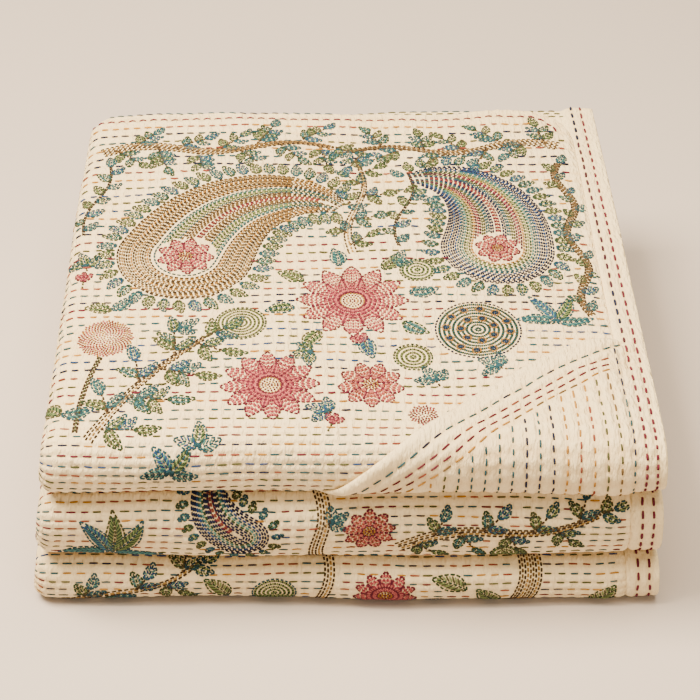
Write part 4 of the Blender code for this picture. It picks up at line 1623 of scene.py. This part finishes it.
def side_rows():
    """The dashes on the left bends of the hidden passes."""
    for start in range(2, 11, 2):
        for step in range(1, HIDDEN_ROWS):
            place = float(along_at(start + step / HIDDEN_ROWS))
            centres = LEFT - PERIOD * (np.arange(4) + random.uniform(0.3, 0.9))
            cycle = TOP_THREADS[(start + step) % len(TOP_THREADS)]
            dashes(centres, place, cycle, (2, 5), "face", centres > LEFT_TURNED)


def reverse_rows():
    """The rows on the reverse, where it shows at the two bends at the back."""
    right_end = LEFT_TURNED - (RIGHT - LEFT)
    for start, end in BACK_TURNS:
        count = int((end - start) / NOSE_PITCH)
        for number in range(1, count):
            place = start + (end - start) * number / count
            shift = random.uniform(0, PERIOD)
            centres = np.arange(right_end - 0.015, LEFT_TURNED - 0.002, PERIOD) + shift
            along = np.full(len(centres), place)
            keep = ~embroidered("reverse", centres, along)
            dashes(centres, along, NOSE_THREADS[number % len(NOSE_THREADS)], (2, 7), "reverse", keep)


def edge_places(first, last):
    """Places of the stitches along the right edge, closer together where the top turns down."""
    places = [first]
    while places[-1] < last:
        turned = float(smooth((places[-1] - NOSES[0][0] + 0.024) / 0.020))
        on_top = places[-1] < TOP_REACH
        places.append(places[-1] + blend(FLAP_PERIOD, FRONT_PERIOD, turned * on_top))
    return np.array(places[:-1]), np.diff(places) * FLAP_DASH / FLAP_PERIOD


def border_rows():
    """The two rows along the border, over the top pass and the three folds."""
    stretches = [(0.003, NOSES[0][1] - 0.004)] + [(start + 0.002, end - 0.002) for start, end in NOSES[1:]]
    for number in (0, 1):
        for start, end in stretches:
            dark = ("plum", "navy", "plum") if number == 0 and end < TOP_REACH else ("crimson",)
            centres, dash = edge_places(start, end)
            on_flap = (number == 0) & (centres > CORNER_START + 0.004) & (centres < along_at(1.70))
            across = border_row(number, centres)
            for patch, keep, cycle in (("border", ~on_flap, dark), ("flap", on_flap, ("crimson",))):
                dashes(centres, across, cycle, (4, 12), patch, keep, True, dash, BORDER_THREAD)


def flap_rows():
    """The rows of the turned corner: some along its free edge, the rest along the border."""
    stretch = np.linspace(CORNER_START + 0.004, CORNER_END - 0.006, 200)
    for number, (thread, other, away) in enumerate(FLAP_DIAGONALS):
        curve = np.stack([edge_at(stretch) + fanned(away, stretch) / flap_slant(stretch), stretch], 1)
        curve = curve[curve[:, 0] < FLAP_LAST_ROW + (0.006 if number == 0 else -0.004)]
        ends = running(curve, FLAP_DASH, 0.0026)
        half = random.uniform(size=len(ends)) < 0.25
        add_stitches("flap", thread, ends[~half], FLAP_THREAD)
        add_stitches("flap", other, ends[half], FLAP_THREAD)
    for number, cycle in enumerate(FLAP_ROWS):
        line = flap_row(number, stretch)
        square = (line - edge_at(stretch)) * flap_slant(stretch)
        last = number == len(FLAP_ROWS) - 1
        limit = 0.0165 if last else fanned(FLAP_DIAGONALS[-1][2], stretch) + 0.004
        inside_rows = stretch[square > limit]
        if len(inside_rows) < 2:
            continue
        centres, dash = edge_places(inside_rows[0] + 0.002, inside_rows[-1] - 0.002)
        centres = centres + random.uniform(-0.001, 0.001)
        dashes(centres, flap_row(number, centres), cycle, (2, 7), "flap", True, True, dash, FLAP_THREAD)


# ---------------------------------------------------------------------------------------------
# Thread, as small beads with their ends sunk in the cloth.
# ---------------------------------------------------------------------------------------------

LONG_STITCH = 0.0040        # stitches from this length on have a bead of three rings
BEADS = {                   # rings: places along the stitch, how far each is lifted, each ring's width
    2: ((0.0, 0.2, 0.8, 1.0), (-0.38, 0.16, 0.16, -0.38), (1.0, 1.0)),
    3: ((0.0, 0.13, 0.5, 0.87, 1.0), (-0.35, 0.24, 0.36, 0.24, -0.35), (0.95, 1.08, 0.95)),
}
BEAD_RING = ((0.5, 0.02), (0.0, 0.46), (-0.5, 0.02), (0.0, -0.4))      # aside and above, for each corner


def thread_beads(patch, ends, rings):
    """Points and uv of the beads for stitches on a patch, a bead's faces and how many points it has."""
    count = len(ends)
    shares, lifts, swell = BEADS[rings]
    width = ends[:, 4:5]
    centres, normals = [], []
    for share, lift in zip(shares, lifts):
        across = blend(ends[:, 0], ends[:, 2], share)
        along = blend(ends[:, 1], ends[:, 3], share)
        point, normal = patch.at(across, along)
        centres.append(point + normal * width * lift)
        normals.append(normal)
    way = centres[-1] - centres[0]
    way /= np.linalg.norm(way, axis=1, keepdims=True) + 1e-12
    points, uv = [centres[0]], [np.zeros((count, 2))]
    for number in range(1, rings + 1):
        side = np.cross(normals[number], way)
        side /= np.linalg.norm(side, axis=1, keepdims=True) + 1e-12
        size = width * swell[number - 1]
        for turn, (aside, above) in enumerate(BEAD_RING):
            points.append(centres[number] + side * aside * size + normals[number] * above * size)
            uv.append(np.stack([np.full(count, shares[number] * 4), np.full(count, turn / 4)], 1))
    points.append(centres[-1])
    uv.append(np.tile([[4.0, 0.0]], (count, 1)))
    size = len(points)
    faces = []
    for turn in range(4):
        after = (turn + 1) % 4
        faces.append([0, 1 + after, 1 + turn])
        for number in range(rings - 1):
            low, high = 1 + 4 * number, 5 + 4 * number
            faces.append([low + turn, low + after, high + after, high + turn])
        last = 1 + 4 * (rings - 1)
        faces.append([last + turn, last + after, size - 1])
    return np.stack(points, 1).reshape(-1, 3), np.stack(uv, 1).reshape(-1, 2), faces, size


def build_thread(thread, patches):
    """One object that holds all the stitches of a thread."""
    all_points, all_faces, all_uv, start = [], [], [], 0
    for (patch, name), lists in sorted(sewing.items()):
        if name != thread:
            continue
        ends = np.concatenate(lists)
        long = np.hypot(ends[:, 0] - ends[:, 2], ends[:, 1] - ends[:, 3]) > LONG_STITCH
        for rings, chosen in ((3, ends[long]), (2, ends[~long])):
            if not len(chosen):
                continue
            points, uv, faces, size = thread_beads(patches[patch], chosen, rings)
            offsets = start + size * np.arange(len(chosen))
            for face in faces:
                all_faces += (offsets[:, None] + np.array(face)[None]).tolist()
            all_points.append(points)
            all_uv.append(uv)
            start += len(points)
    points, uv = np.concatenate(all_points), np.concatenate(all_uv)
    return mesh_object(thread + "_thread", points, all_faces, uv, "twist")


# ---------------------------------------------------------------------------------------------
# Finishes.
# ---------------------------------------------------------------------------------------------

class Wire:
    """A socket of a finish; arithmetic on it adds Math nodes."""

    def __init__(self, finish, socket):
        self.finish, self.socket = finish, socket

    def calculate(self, operation, first, second):
        return self.finish.node("Math", {"operation": operation}, {0: first, 1: second})

    def __add__(self, other):
        return self.calculate("ADD", self, other)

    def __sub__(self, other):
        return self.calculate("SUBTRACT", self, other)

    def __rsub__(self, other):
        return self.calculate("SUBTRACT", other, self)

    def __mul__(self, other):
        return self.calculate("MULTIPLY", self, other)

    __radd__ = __add__
    __rmul__ = __mul__


class Finish:
    """A material that is built node by node."""

    def __init__(self, name, **constants):
        self.material = bpy.data.materials.new(name)
        self.material.use_nodes = True
        self.tree = self.material.node_tree
        self.shader = self.tree.nodes["Principled BSDF"]
        for key, value in constants.items():
            self.feed(self.shader.inputs[key.replace("_", " ")], value)

    def feed(self, socket, value):
        """Gives a socket a value or a link."""
        if isinstance(value, Wire):
            self.tree.links.new(value.socket, socket)
        else:
            socket.default_value = value

    def node(self, kind, settings=None, inputs=None, output=0):
        """Adds a node: its settings first, then the values or links of its sockets."""
        made = self.tree.nodes.new("ShaderNode" + kind)
        for key, value in (settings or {}).items():
            setattr(made, key, value)
        for key, value in (inputs or {}).items():
            self.feed(made.inputs[key], value)
        return Wire(self, made.outputs[output])

    def noise(self, place, scale, detail):
        """Soft unevenness at a scale."""
        return self.node("TexNoise", None, {"Vector": place, "Scale": scale, "Detail": detail})

    def tinted(self, share, first, second):
        """A colour between two."""
        return self.node("Mix", {"data_type": "RGBA"}, {0: share, 6: first, 7: second}, 2)

    def done(self, colour, height=None):
        """The material, once it has its colour and the height of its surface."""
        self.feed(self.shader.inputs["Base Color"], colour)
        if height:
            bump = self.node("Bump", None, {"Height": height, "Distance": 1.0, "Strength": 1.0})
            self.feed(self.shader.inputs["Normal"], bump)
        return self.material


def cotton():
    """Washed cream cotton: a fine weave, puckers between the rows, and painted shade in the hollows."""
    cloth = Finish(
        "quilted_cotton", Roughness=0.95, Sheen_Weight=0.08, Sheen_Roughness=0.6, Specular_IOR_Level=0.2,
    )
    place = cloth.node("UVMap", {"uv_map": "cloth"})
    spot = cloth.node("TexCoord", output=3)
    hollow = cloth.node("Attribute", {"attribute_name": "hollow"}, output=2)
    blotch, speck = cloth.noise(spot, 17.0, 3.0), cloth.noise(spot, 520.0, 2.0)
    clean = cloth.tinted(blotch * 1.6 - 0.3, (0.800, 0.655, 0.410, 1), (0.855, 0.720, 0.470, 1))
    flecked = cloth.tinted(speck * 0.55 - 0.10, clean, (0.740, 0.570, 0.320, 1))
    # Painted shade: the deeper a point lies in a row's trough, the more of a darker, warmer brown is mixed
    # into the cream.
    hollow_painted_shade = cloth.tinted(hollow * 0.55, flecked, (0.640, 0.440, 0.200, 1))
    stretched = cloth.node("Mapping", None, {"Vector": place, "Scale": (430.0, 150.0, 1.0)})
    pucker, weave = cloth.noise(stretched, 1.0, 2.0), cloth.noise(place, 1500.0, 1.0)
    return cloth.done(hollow_painted_shade, pucker * 0.00260 + weave * 0.00010)


def floss(name, colour):
    """Stranded embroidery thread: its tone varies from stitch to stitch, and its strands twist."""
    finish = Finish(
        name + "_floss", Roughness=0.70, Sheen_Weight=0.03, Sheen_Roughness=0.5, Specular_IOR_Level=0.12,
    )
    spot = finish.node("TexCoord", output=3)
    tone, worn = finish.noise(spot, 140.0, 1.0), finish.noise(spot, 30.0, 1.0)
    dark = tuple(part * 0.72 for part in colour) + (1,)
    light = tuple(part * 1.35 + 0.006 for part in colour) + (1,)
    shade = finish.tinted(tone * 0.9 + worn * 0.8 - 0.38, dark, light)
    place = finish.node("UVMap", {"uv_map": "twist"})
    twist = finish.node("TexWave", {"bands_direction": "DIAGONAL"}, {"Vector": place, "Scale": 2.2}, 1)
    return finish.done(shade, twist * 0.00006)


# ---------------------------------------------------------------------------------------------
# The studio.
# ---------------------------------------------------------------------------------------------

CAMERA_AT = (-0.0311, -1.0104, 0.9140)
CAMERA_TILT = 40.3          # degrees down
LENS = 94.84
LENS_SHIFT = 0.0734         # the share of the width by which the view is moved to the right
FLOOR_SIZE = 6.0
FLOOR_COLOUR = (0.500, 0.446, 0.428, 1.0)
LIGHT_COLOUR = (1.0, 0.83, 0.58)
ROOM_GLOW = 0.06
LIGHTS = (                  # name, place, size, power
    ("window", (-0.9, -0.1, 1.9), 0.8, 136.0),
    ("ceiling", (0.0, -0.2, 2.2), 1.6, 105.0),
    ("reflector", (0.6, -1.4, 1.0), 1.4, 15.0),
)
AIM_HEIGHT = 0.07           # the height over the middle that the lights aim at


def studio():
    """A pale floor, soft lights and the camera."""
    bpy.ops.mesh.primitive_plane_add(size=FLOOR_SIZE, location=(0, 0, 0))
    floor = bpy.context.active_object
    floor.name = "floor"
    paint = Finish("pale_floor", Roughness=0.85)
    spot = paint.node("TexCoord", output=3)
    darker = tuple(part * 0.97 for part in FLOOR_COLOUR[:3]) + (1,)
    floor.data.materials.append(paint.done(paint.tinted(paint.noise(spot, 3.0, 2.0), darker, FLOOR_COLOUR)))
    for name, place, size, power in LIGHTS:
        bpy.ops.object.light_add(type="AREA", location=place)
        light = bpy.context.active_object
        light.name = name
        light.data.size, light.data.energy, light.data.color = size, power, LIGHT_COLOUR
        aside, ahead, above = -place[0], -place[1], AIM_HEIGHT - place[2]
        tilt = math.atan2(math.hypot(aside, ahead), -above)
        light.rotation_euler = (tilt, 0, math.atan2(ahead, aside) - math.pi / 2)
    world = bpy.data.worlds.new("soft_room")
    world.use_nodes = True
    glow = world.node_tree.nodes["Background"].inputs
    glow["Color"].default_value = LIGHT_COLOUR + (1,)
    glow["Strength"].default_value = ROOM_GLOW
    bpy.context.scene.world = world
    bpy.ops.object.camera_add(location=CAMERA_AT)
    camera = bpy.context.active_object
    camera.rotation_euler = (math.radians(90 - CAMERA_TILT), 0, 0)
    camera.data.lens = LENS
    camera.data.sensor_width = 36.0
    camera.data.shift_x = LENS_SHIFT
    bpy.context.scene.camera = camera


def main():
    bpy.ops.object.select_all(action="DESELECT")
    studio()
    top_motifs()
    fold_motifs()
    reverse_motifs()
    face_rows()
    second_rows()
    side_rows()
    reverse_rows()
    border_rows()
    flap_rows()
    points, faces, uv, hollow, patches = build_cloth()
    points, faces, uv, hollow = compact(points, turned_outwards(points, faces), uv, hollow)
    cloth = mesh_object("quilt_cloth", points, faces, uv, hollow=hollow)
    points, faces, uv, hollow, patches["flap"] = build_flap()
    flap = mesh_object("turned_corner", points, turned_outwards(points, faces), uv, hollow=hollow)
    cloth_finish = cotton()
    threads = []
    for name, colour in THREADS.items():
        made = build_thread(name, patches)
        made.data.materials.append(floss(name, colour))
        threads.append(made)
    for piece in (cloth, flap):
        piece.data.materials.append(cloth_finish)
    for piece in [cloth, flap] + threads:
        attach(piece, "root")
    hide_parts("quilt")


main()
